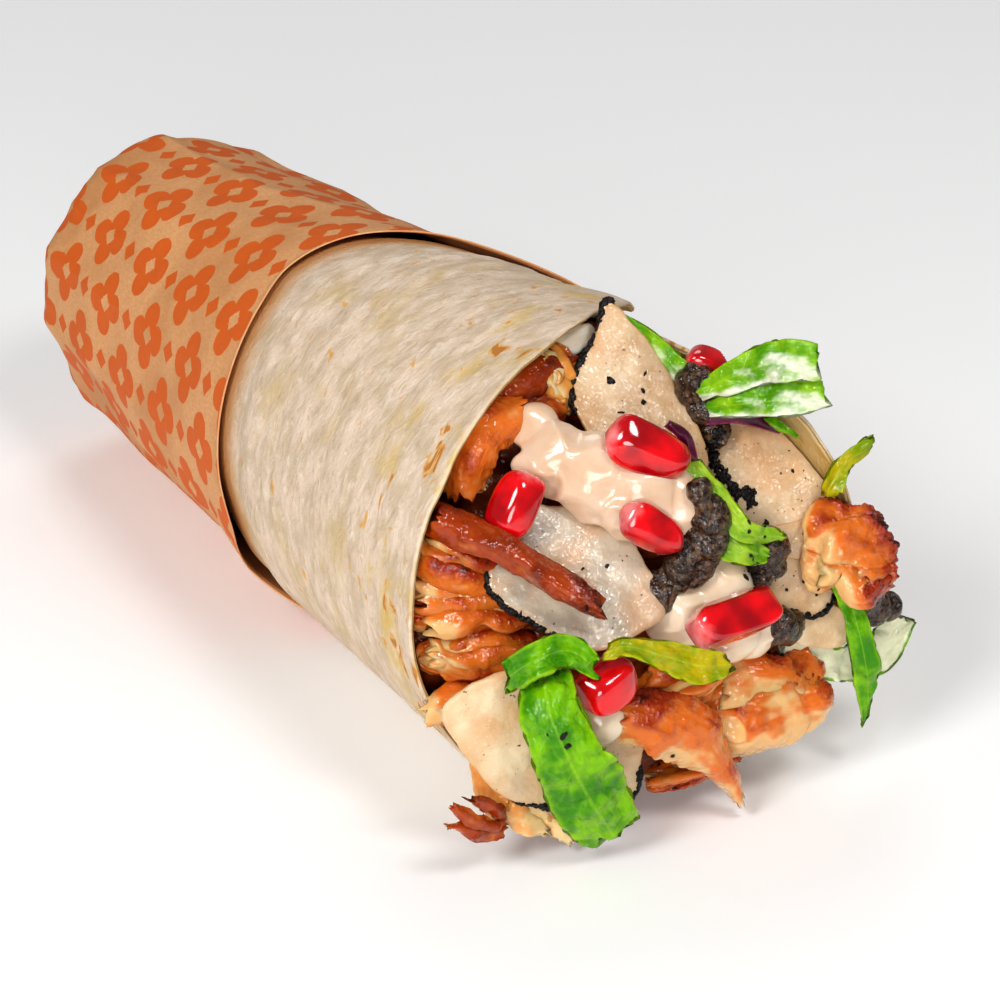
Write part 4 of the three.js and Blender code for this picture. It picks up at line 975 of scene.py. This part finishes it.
def flake(span, width, depth, rng, seed, toast, crust, broad):
    """One torn sheet of meat that lies over a lump."""
    first, last = rng.uniform(-0.04, 0.25), rng.uniform(0.75, 1.04)
    offset = rng.uniform(-0.42, 0.42) * width * (1 - 0.4 * broad)
    crown = depth / 2 * math.sqrt(max(0.1, 1 - (2.0 * offset / width) ** 2))
    places = []
    for share in np.linspace(first, last, 5):
        arch = crown * (1 - 0.75 * abs(2 * share - 1) ** 2.2) + rng.uniform(-0.3, 0.5)
        aside = offset + rng.uniform(-0.14, 0.14) * width
        x, y, z = lerp(span.start, span.end, share) + span.side * aside + span.face * arch
        places.append((x, MOUTH_Y - y, z))
    girth = rng.uniform(0.32, 0.6) * width * (1 + 0.5 * broad)
    widths = girth * np.array([0.75, 1.0, 1.0, 0.95, 0.6]) * rng.uniform(0.8, 1.2, 5)
    shape = ribbon(places, widths, rng.uniform(1.4, 2.4) * (1 + 0.4 * broad), twist=rng.uniform(-26, 26, 2),
                   cup=rng.uniform(-1.3, -0.3) * (1 + broad), wave=0.3, waves=rng.uniform(1, 2), seed=seed,
                   thin_edge=0.35, ragged=0.14, end_ragged=1.8 + broad, strand=0.8, fineness=0.34,
                   toast=toast + rng.uniform(-0.3, 0.25))
    shape.values["toast"] = shape.values["toast"] - 0.4 * (1 - smoothstep(shape.values["share"], 0, 0.35))
    return meat_relief(shape, seed, 0.05, 0.2, 0.12 * (1 - broad), crust)


def meat(name, start, end, width, depth, seed, toast, flakes, kind="chicken", bump=0.14, crust=(0, 0, 0),
         crag=0.3, grains=0.3, fineness=88, broad=0.0):
    """A lump with torn sheets over it. broad, from 0 to 1, makes those wide, thick and smooth."""
    rng = np.random.default_rng(seed * 7 + 1)
    body = chunk(start, end, width, depth, seed, bump, fineness, swell=0.95,
                 toast=toast, across=0, share=0.5)
    browned_side = smoothstep(body.grain[:, 1] / np.abs(body.grain[:, 1]).max(), -1, -0.3)
    body.values["toast"] = body.values["toast"] - 0.35 * broad * (1 - browned_side)
    shapes = [meat_relief(body, seed, 0.07, crag, 0.4, crust, grains)]
    for k in range(flakes):
        shapes.append(flake(Span(start, end), width, depth, rng, seed * 10 + k, toast, crust, broad))
    return food(name, "meat", joined(shapes), kind)


def meat_strip(name, path, widths, thick, seed, toast, kind="chicken", crag=0.15, crust=(0, 0, 0),
               ragged=0.16, thin_edge=0.3, **strip):
    """A shred of meat with ragged edges and ends."""
    shape = ribbon(path, widths, thick, toast=toast, ragged=ragged, end_ragged=2.2, strand=0.8,
                   fineness=0.22, seed=seed, thin_edge=thin_edge, **strip)
    meat_relief(shape, seed, 0.05, crag, 0.06, crust, grains=0.25)
    return food(name, "meat", shape, kind)


def splinters(name, kind, paths, width, thick, toast, seed):
    """Thin torn shards that hold together at one end."""
    shapes = []
    for k, path in enumerate(paths):
        shape = ribbon(path, [width * 0.8, width, width * 0.45], thick, twist=(24 * (-1) ** k, -20),
                       cup=-0.3, wave=0.2, seed=seed + k, thin_edge=0.3, ragged=0.3, end_ragged=1.6,
                       strand=0.6, fineness=0.22, toast=toast + 0.16 * (k % 2))
        shapes.append(meat_relief(shape, seed + k, 0.15, 0.3, 0.2))
    return food(name, "meat", joined(shapes), kind)


def leaf(name, path, widths, seed, kind="leaf", thick=0.8, crinkle=0.3, end_ragged=1.8, **strip):
    """A strip of salad, with blisters and a raised rib."""
    shape = ribbon(path, widths, thick, thin_edge=0.5, ragged=0.1, end_ragged=end_ragged, strand=1.5,
                   tooth=7.0, seed=seed, **strip)
    upper = np.where(shape.grain[:, 0] > STRIP_FACES / 2, -1.0, 1.0)
    across = shape.values["across"]
    place = stacked(across * max(widths) / 2, shape.grain[:, 1], seed * 5.0)
    blister = np.abs(fractal(place, (3.0, 3.6, 1), 2, seed))
    rib = np.exp(-(across / 0.1) ** 2)
    shape.push(upper * (crinkle * 2.2 * (blister - 0.35) + 0.2 * rib * (upper > 0)))
    return food(name, "blade", shape, kind)


def shred(name, path, widths, seed, kind):
    """A thin strip of vegetable."""
    shape = ribbon(path, widths, 1.2, cup=-0.4, wave=0.2, seed=seed, ragged=0.05)
    return food(name, "shred", shape, kind)


def slice_with_rind(name, left, right, top, bottom, seed, rind, kind="truffle", **form):
    """A slice of truffle, with rind along its edge from some angles in degrees to others."""
    shape, edge, normal = round_slice(left, right, top, bottom, seed=seed, **form)
    shape.push(0.16 * fractal(shape.points, 2.6, 3, seed))
    food(name, "flesh", shape, kind)
    rng = np.random.default_rng(seed * 31)
    granules = [granule for first, last in rind for granule in rind_granules(edge, normal, first, last, rng)]
    return food(name, "rind", joined(granules), "rind", nodes=())


def granule(place, radii, axes, rng, fineness=7):
    """A small angular grain."""
    ball = ball_points(fineness + 2, fineness + 1)[0][1:-1]
    ball = ball * (1 + 0.28 * rng.uniform(-1, 1, ball.shape[:2]))[..., None]
    tips = np.array([[radii[0], 0, 0], [-radii[0], 0, 0]])
    return lofted(place + (ball * radii) @ axes, ball[..., :2], place + tips @ axes, rim=1.0)


def rind_granules(edge, normal, first, last, rng):
    """Black grains crowded along the slice's edge, from one angle in degrees to another."""
    count = len(edge)
    closed = np.concatenate([edge, edge[:1]])
    length = np.linalg.norm(np.diff(closed, axis=0), axis=1).sum() * abs(last - first) / 360
    grains = []
    for share in np.arange(0, 1, 0.3 / length):
        if rng.uniform() < 0.1:
            continue
        place = np.mod(lerp(first, last, share + rng.uniform(-0.01, 0.01)) / 360 * count, count)
        centre = np.array([np.interp(place, np.arange(count + 1), axis) for axis in closed.T])
        tangent = unit(closed[int(place) + 1] - closed[int(place)])
        outward = np.cross(tangent, normal)
        thickness = rng.uniform(0.28, 0.6) * (0.5 + 0.5 * math.sin(math.pi * share) ** 0.5)
        centre = centre + outward * rng.uniform(-0.3, 0.15) + normal * rng.uniform(-0.15, 0.3)
        radii = np.array([rng.uniform(0.4, 1.0), thickness, rng.uniform(0.45, 0.75)])
        grains.append(granule(centre, radii, np.array([tangent, outward, normal]), rng))
    return grains


def aril(name, start, end, width, seed, sharpness):
    """A pomegranate seed: a rounded block with soft facets and a paler tip at its start. tip runs from
    -1 at its start to 1 at its end."""
    span = Span(start, end)
    rng = np.random.default_rng(seed)
    turn = rng.uniform(0, 1)
    planes = [(1, 0, 0), (-1, 0, 0)]
    for k in range(5):
        angle = 2 * math.pi * (k + turn) / 5 + rng.uniform(-0.2, 0.2)
        planes.append((rng.uniform(-0.2, 0.2), math.cos(angle), math.sin(angle)))
    for sign in (1, -1):
        for k in range(3):
            angle = 2 * math.pi * (k + turn + 0.25 * sign) / 3
            planes.append((sign * 1.1, math.cos(angle), math.sin(angle)))
    offsets = np.array([1.0] * 2 + [0.9] * 5 + [1.08] * 6) * rng.uniform(0.94, 1.03, len(planes))
    ball, _ = ball_points(58, 56)
    facing = np.maximum(ball @ unit(np.array(planes)).T / offsets, 0)
    reach = (facing ** sharpness).sum(axis=-1) ** (-1 / sharpness)
    halves = np.array([span.length, width, width * 0.92]) / 2 * 1.04
    local = ball * reach[..., None] * halves
    shape = span.ball(local, local[..., [1, 0]], tip=local[1:-1, :, 0] / halves[0])
    shape.push(0.06 * noise(shape.points, 2.4, seed))
    return food(name, "aril", shape, "seed")


def pool(name, kind, blobs, seed, flat=0.6, voxel=0.35, smoothing=12, roughness=0.0, grain_size=1.5,
         ridges=0.0):
    """Soft lumps run together, each given as right, forward, up and radius."""
    shapes = []
    for right, forward, up, radius in blobs:
        left_end, right_end = (right - 1, forward, up), (right + 1, forward, up)
        ball = chunk(left_end, right_end, 2, 2, 0, bump=0, fineness=24, squareness=2)
        centre = at((right, forward, up))
        offset = (ball.points - centre) * radius
        ball.points = centre + offset - (1 - flat) * (offset @ FACING)[:, None] * FACING
        shapes.append(ball)
    shape = remeshed(name, shapes, voxel, smoothing)
    folds = 1 - 2.6 * np.abs(noise(shape.points, (5, 5, 3.2), seed + 2))
    shape.push(0.12 + 0.3 * noise(shape.points, 5, seed) + ridges * folds
               + roughness * fractal(shape.points, grain_size, 3, seed))
    return food(name, "pool", shape, kind)


def paste(name, blobs, seed, flat=0.8):
    """A lumpy string of paste, with more lumps set between those given, which sways a little."""
    between, sway = 3, 0.9
    places = np.linspace(0, len(blobs) - 1, (len(blobs) - 1) * between + 1)
    string = stacked(*(np.interp(places, np.arange(len(blobs)), column) for column in zip(*blobs)))
    turn = 2.4 * np.arange(len(string))
    string[:, 0] += sway * np.sin(turn)
    string[:, 2] += sway * np.cos(1.3 * turn)
    string[:, 3] *= 0.95 + 0.25 * np.sin(0.7 * turn + 1)
    return pool(name, "paste", string, seed, flat, voxel=0.25, smoothing=3, roughness=0.4, grain_size=2.2)


def crumbs(name, kind, clusters, size, seed):
    """Crumbs strewn on what faces the viewer. A cluster has a place, a spread and a count."""
    rng = np.random.default_rng(seed)
    ground = joined([Shape(shape.points, shape.quads, shape.tris, shape.grain) for shape in SURFACES])
    tree = BVHTree.FromPolygons(ground.points.tolist(), ground.triangles().tolist())
    grains = []
    for place, spread, count in clusters:
        for _ in range(count):
            aim = at(place) + rng.normal(0, spread, 3)
            spot, normal, _, _ = tree.ray_cast(Vector(aim + FACING * RAY_LENGTH), Vector(-FACING))
            if spot is None or np.linalg.norm(np.array(spot) - at(place)) > spread * 3 + RAY_REACH:
                continue
            upward = np.array(normal)
            tangent = unit(np.cross(upward, rng.normal(0, 1, 3)))
            radii = size * rng.uniform(0.35, 1.2) ** 1.5 * rng.uniform((0.7, 0.5, 0.4), (1.5, 1.0, 0.7))
            axes = np.array([tangent, np.cross(upward, tangent), upward])
            grains.append(granule(np.array(spot) + upward * radii[2] * 0.3, radii, axes, rng, fineness=5))
    return piece(name, joined(grains), MATERIALS[kind])


def seeds():
    ends = {
        "seed_lower": ([-8.5, 12, 29.5], [-17, 12, 26.5], 7),
        "seed_front": ([0.5, 13, 32], [14, 13, 33.5], 6.4),
        "seed_middle": ([-5.5, 5, 48.6], [2.6, 6, 42.2], 5.8),
        "seed_top": ([-4.5, -1, 58], [5.5, 4, 52.5], 6.8),
        "seed_left": ([-15, -4, 53.5], [-19.5, -3, 45], 6.8),
        "seed_back": ([14.5, -11, 61.5], [18.5, -7, 58], 5.6),
    }
    for seed, (name, size) in enumerate(ends.items(), 1):
        aril(name, *size, seed, sharpness=13 if name == "seed_front" else 7)


def salad():
    leaf("leaf_hanging",
         [[-21.5, 11, 31.5], [-23.5, 15, 29], [-22, 17, 22.5], [-17.5, 16, 13], [-13, 14, 5.6]],
         [6, 8.5, 10, 10.5, 8.5], 1, cup=-1, wave=0.5, crinkle=0.4)
    leaf("leaf_fold", [[-26.5, 9, 31], [-24, 13, 35], [-19, 13, 35], [-15, 14, 31.5]], [4, 4.5, 4.5, 2.5],
         2, cup=0.6, wave=0.4)
    leaf("leaf_cross",
         [[-14.5, 14, 33.5], [-11, 14.5, 34], [-6, 16, 32], [-1, 17, 29.5], [4.5, 17.5, 28.5]],
         [2.2, 2.6, 4.4, 4.8, 2.5], 3, "leaf_yellow", cup=0.6, wave=0.4)
    leaf("leaf_middle", [[6, 3, 52], [8, 7, 48], [10.5, 10, 44], [16, 11, 42]], [3.6, 3.8, 3.6, 1.6], 4,
         "leaf_light", twist=(0, 25), wave=0.4)
    leaf("leaf_middle_low", [[6.5, 7, 43.5], [9, 9, 42], [11.5, 10, 40.5], [14.5, 10, 39]], [3, 5, 4, 1.6],
         5, "leaf_light", cup=0.8)
    leaf("leaf_thin", [[26.5, 9, 32], [28, 11, 28.5], [29, 12, 23], [30.5, 12, 15.5], [31, 11, 9.5]],
         [2.4, 3, 3.8, 3.2, 1], 6, twist=(20, -30), wave=0.4)
    leaf("leaf_rib", [[20, 7, 23], [26.5, 8, 18], [35.5, 7, 16.5], [42, 5, 20]], [4, 5, 5.5, 4], 7,
         "leaf_rib", thick=1.2, cup=1, wave=0.4)
    leaf("leaf_curl", [[27.3, 7, 45.2], [29, 7, 48], [32.6, 7, 49.8]], [3.4, 2.2, 2.6], 8, "leaf_yellow",
         twist=(-30, 40))
    leaf("leaf_top_upper", [[13, -5, 58.5], [17, -1, 61.5], [20.5, 3, 64], [23.5, 7, 65]],
         [2.6, 4.4, 5.6, 4.6], 9, "leaf_creamy", wave=0.5, end_ragged=0.7)
    leaf("leaf_top_lower", [[13.5, -4, 56], [17, 0, 57.5], [21, 4, 58.5], [25, 8, 60]], [2.4, 4, 4.8, 3.4],
         10, "leaf_creamy", wave=0.5, end_ragged=0.7)
    leaf("leaf_edge", [[21.3, -1, 55.2], [23.3, 1, 53.7], [24.8, 3, 51.7]], [2.4, 3, 1.2], 11)
    leaf("leaf_back", [[7, -16.5, 66], [10.5, -13, 62.5], [13, -9, 59], [14.5, -6, 56]],
         [2.6, 3.8, 3.4, 2.2], 12, "leaf_creamy", wave=0.4)
    leaf("leaf_tip", [[-1, -20, 63.5], [4, -21, 64.5]], [1.2, 2.4], 13)
    shred("cabbage_right", [[13.5, -4, 55.5], [18.5, -3, 54.5], [24, -1, 51.5]], [3.4, 3, 1.4], 1,
          "cabbage")
    shred("cabbage_left", [[4, 1, 58], [6, 2, 56], [7, 3, 52.5]], [1.2, 1.8, 1.2], 2, "cabbage")
    shred("onion", [[-4, -18, 62.5], [0, -19, 63.4], [5, -20, 64]], [2.8, 4, 2.6], 3, "onion")


def chicken_in_front():
    meat_strip("chicken_strip", [[-28, -8, 48], [-23, -2, 46], [-19, 4, 43.5], [-12.5, 10, 38.5]],
               [5, 5.2, 4.2, 4.3, 2.8], 2.8, 14, 0.5, "chicken_dark", crag=0.2, ragged=0.14, cup=-0.8,
               wave=0.7)
    meat_strip("chicken_tail", [[-11, 11.5, 22], [-5, 13, 20], [1.5, 13, 15], [6, 12.5, 9], [9, 12, 3]],
               [6, 9, 9, 4.5, 1.6], 3, 15, 0.36, crust=(-0.1, 0, 0.5), cup=-0.8, wave=0.5)
    meat("chicken_front", [5, 6.5, 15], [25.6, 8, 13.6], 13.5, 12, 8, -0.12, 1, crust=(0.42, 0.05, 0.85),
         grains=0.5, fineness=150)
    meat("chicken_right", [21.8, 6.5, 37.4], [35.8, 10, 34], 13.5, 8, 9, 0.3, 1, bump=0.2,
         crust=(0.75, 0.1, 0.15), crag=0.35, grains=0.8, fineness=140)
    meat("chicken_middle", [-6, 8, 21.5], [8.5, 8, 22], 7, 7, 10, 0.5, 4)


def truffle_slices():
    """Each with its left, right, top and bottom edge."""
    # slice_pale and slice_low use the lighter truffle copy, painted light against their shade
    slice_with_rind("slice_pale", [19, 7, 26], [30, 8.5, 24], [25, 7.5, 27.5], [25.5, 9, 20.5], 1,
                    [(100, 170)], "truffle_light")
    slice_with_rind("slice_front", [16, 6, 34.5], [29.5, 6.5, 32.5], [23.5, 4.5, 40], [22, 9, 27], 2,
                    [(225, 320)], bend=-0.8)
    slice_with_rind("slice_middle", [-22, -4, 41.5], [-0.5, 6, 36.5], [-9, -4, 47], [-13.5, 9, 32], 3,
                    [(165, 250)], "truffle_wet", bend=-1.2)
    slice_with_rind("slice_right", [13.5, -3, 46.5], [29.9, 5, 43.6], [22, -7, 54], [22, 5.5, 35], 4,
                    [(60, 150), (155, 215)], bend=-1.2)
    slice_with_rind("slice_top", [-6, -13, 60], [16, -3.5, 56], [6.5, -19.5, 68.5], [3.5, -3.5, 48.5], 5,
                    [(92, 130), (140, 195)], bend=-1, roll=0.8, taper=0.72)
    slice_with_rind("slice_low", [-31.5, 5, 21.5], [-4, 10, 12], [-21.5, 7, 31], [-19.5, 9.5, 10], 6,
                    [(245, 285), (300, 350)], "truffle_light", bend=-1)


def paste_and_sauce():
    paste("paste_middle", [[5.3, 7.5, 49.2, 1.5], [6.6, 8, 46.7, 2.4], [6.8, 7.5, 43.6, 2.2],
                           [5.2, 7.5, 41, 2.9], [3, 7, 38.4, 2.1], [0.5, 5.5, 36, 2.6]], 1, flat=0.55)
    paste("paste_top", [[13.8, -6.8, 57.5, 2.7], [14.6, -4.6, 53, 2.7]], 2)
    paste("paste_right", [[16.5, 8, 38, 2.4], [14, 8.5, 36, 1.8]], 3)
    paste("paste_low", [[16, 10.5, 27, 2.2], [19, 9.5, 28, 1.6]], 4)
    paste("paste_edge", [[33, 7, 25.5, 2.6], [37, 7, 24.5, 2.2]], 5)
    pool("sauce_top", "sauce", [[-10, -10, 56, 3.6], [-9, -6.5, 53, 5.2], [-5.5, -3, 51, 6.4],
                                [-1.5, 0, 49, 6.6], [4, 2.5, 47, 5.6], [-13.5, -7, 52.8, 1.9],
                                [-11.5, -6, 52.5, 3]], 6, ridges=0.45)
    pool("sauce_front", "sauce_light", [[2.5, 5, 32.5, 5.2], [8, 5, 34, 6.6], [8, 7, 30, 6.8],
                                        [12, 7.5, 28.5, 5.4], [5.5, 8.5, 27, 4]], 7, ridges=0.3)
    pool("sauce_low", "sauce_light", [[-13, 10.5, 22, 3.6]], 8, smoothing=8)


def chicken_behind():
    meat("chicken_under", [-3, 5.5, 6], [12, 6, 7], 5, 4, 11, 0.6, 3)
    splinters("chicken_crisp", "chicken_dark", [
        [[-26, 7, 7.5], [-30.5, 8.5, 9.5], [-34.5, 8.5, 13.5]],
        [[-26, 7, 8.5], [-29.5, 8, 12], [-32, 8, 14]],
        [[-26.5, 7, 6.8], [-31, 8, 8.5], [-35, 8, 10.5]],
    ], 2.6, 1.3, 0.3, 61)
    splinters("chicken_shred_low", "chicken_pale", [
        [[-24, 6, 11], [-19.5, 7, 7.5], [-16.5, 8.5, 2.4]],
        [[-22, 6, 10.5], [-18, 7, 8.5], [-14.5, 8, 5]],
        [[-25, 6, 9.5], [-22, 7, 6.5], [-19.5, 7.5, 4.4]],
    ], 4.2, 1.5, 0.1, 71)
    meat_strip("chicken_shred_left", [[-25.5, 1.5, 18.5], [-25.5, 4, 12], [-25, 5, 6]], [4, 6, 4.5], 3, 18,
               0.25, "chicken_pale", wave=0.4, thin_edge=0.4)
    meat_strip("chicken_curl", [[-21, -11, 48.5], [-20, -11, 54], [-16.5, -12, 57.3], [-10.5, -13, 58]],
               [5, 7.5, 7.5, 4.5], 3.2, 19, 0.45, cup=-1, wave=0.4)
    stack = {
        "upper": ([-30, -11, 42], [-14, -6, 35], 7.5, 8, 0.45, 0.2, (0.2, 0, 0.25)),
        "middle": ([-31, -10, 34], [-11, -4, 31], 7.5, 8.5, 0.5, 0.2, (0.2, 0, 0.25)),
        "lower": ([-30.5, -9, 27], [-13, -3, 25.5], 8, 8.5, 0.55, 0.2, (0.2, 0, 0.2)),
        "bottom": ([-30, -7, 20.5], [-15, -2, 19.5], 7, 8, 0.45, 0.14, (0, 0, 0)),
    }
    for seed, (name, (*size, toast, bump, crust)) in enumerate(stack.items(), 12):
        meat("chicken_left_" + name, *size, seed, toast, 4, bump=bump, crust=crust, broad=0.5)
    meat("chicken_corner", [-15, -19, 58.5], [1, -18, 57.5], 10.5, 8, 16, 0.45, 5, "chicken_dark")
    meat("chicken_back", [-3, -20, 64], [-1, -15, 55], 6.5, 7, 17, 0.3, 3, "chicken_pale")


def truffle_crumbs():
    slice_edge = [[11.6, 2, 55.4], [10.6, 2, 53.7], [11, 2, 52.2], [11.2, 2, 50.8], [12, 2, 49.2],
                  [12.9, 2, 47.8], [14, 2, 46.2], [14.6, 2, 45.3], [16.5, 2, 44.7], [17.4, 2, 43.6]]
    crumbs("truffle_crumbs", "rind", [(place, 0.42, 30) for place in slice_edge] + [
        ([13.3, 8, 36.8], 0.8, 10), ([14.2, 8, 35.3], 0.6, 8), ([16.5, 5.5, 41], 1.2, 6),
        ([21, 3, 47], 2.2, 5), ([2, -9, 56], 2.0, 4), ([8, -8, 59], 2.0, 3), ([-11, 2, 41], 2.6, 3),
        ([22, 8, 31], 1.2, 5), ([-18, 10, 21], 2.4, 4), ([-6, 13, 14], 1.4, 9),
    ], 0.4, 5)


# ---------------- stage, light and camera

def stage():
    """A plain pale floor that glows a little, so that it stays pale in the shade."""
    floor = object_of("floor", bpy.data.meshes.new("floor"))
    size = 3.0
    corners = [(x * size, y * size, 0) for x, y in ((-1, -1), (1, -1), (1, 1), (-1, 1))]
    floor.data.from_pydata(corners, [], [(0, 1, 2, 3)])
    paint = Finish("floor", Roughness=0.9, Base_Color=(0.93, 0.93, 0.93, 1), Emission_Color=(1, 1, 1, 1),
                   Emission_Strength=0.1)
    floor.data.materials.append(paint.material)


def direction(azimuth, elevation):
    """Towards an azimuth, anticlockwise from the mouth's side, and an elevation, both in radians."""
    level = math.cos(elevation)
    return Vector((math.sin(azimuth) * level, -math.cos(azimuth) * level, math.sin(elevation)))


def soft_light(name, azimuth, elevation, distance, size, power):
    """An area light that looks at the wrap. The angles are in degrees, the sizes in metres."""
    light = bpy.data.lights.new(name, "AREA")
    light.shape = "DISK"
    light.size = size
    light.energy = power
    lamp = object_of(name, light)
    aim = Vector((0, -0.02, 0.03))
    lamp.location = aim + distance * direction(math.radians(azimuth), math.radians(elevation))
    lamp.rotation_euler = (aim - lamp.location).to_track_quat("-Z", "Y").to_euler()


def lights():
    world = bpy.context.scene.world or bpy.data.worlds.new("studio")
    bpy.context.scene.world = world
    world.use_nodes = True
    background = world.node_tree.nodes["Background"]
    background.inputs["Color"].default_value = (1, 1, 1, 1)
    background.inputs["Strength"].default_value = 0.18
    soft_light("key", -60, 38, 0.9, 0.3, 3.5)
    soft_light("front", -30, 12, 1.1, 0.4, 2.9)
    soft_light("over", 4, 50, 0.9, 0.24, 2.0)
    soft_light("back", 150, 50, 1.0, 0.5, 1.4)


def camera():
    """The photograph's view. The angles are in degrees, the place in mm."""
    azimuth, elevation, roll = (math.radians(v) for v in (-29.124, 25.494, -1.212))
    place = Vector((-219.93, -427.856, 246.804))
    focal_pixels, frame_pixels, sensor = 3393.21, 1000, 36.0
    back = direction(azimuth, elevation)
    right = Vector((math.cos(azimuth), math.sin(azimuth), 0))
    up = back.cross(right)
    rolled_right = right * math.cos(roll) + up * math.sin(roll)
    rolled_up = up * math.cos(roll) - right * math.sin(roll)
    view = bpy.data.cameras.new("camera")
    view.sensor_width = sensor
    view.lens = focal_pixels / frame_pixels * sensor
    view.clip_start = 0.01
    eye = object_of("camera", view)
    turn = Matrix((rolled_right, rolled_up, back)).transposed().to_4x4()
    eye.matrix_world = Matrix.Translation(place * MM) @ turn
    bpy.context.scene.camera = eye


for build in (camera, lights, stage, flatbread, paper_sleeve, filling_core, seeds, salad, chicken_in_front,
              truffle_slices, paste_and_sauce, chicken_behind, truffle_crumbs):
    build()
bpy.context.scene.view_settings.view_transform = "Standard"
bpy.context.scene.view_settings.look = "Medium High Contrast"
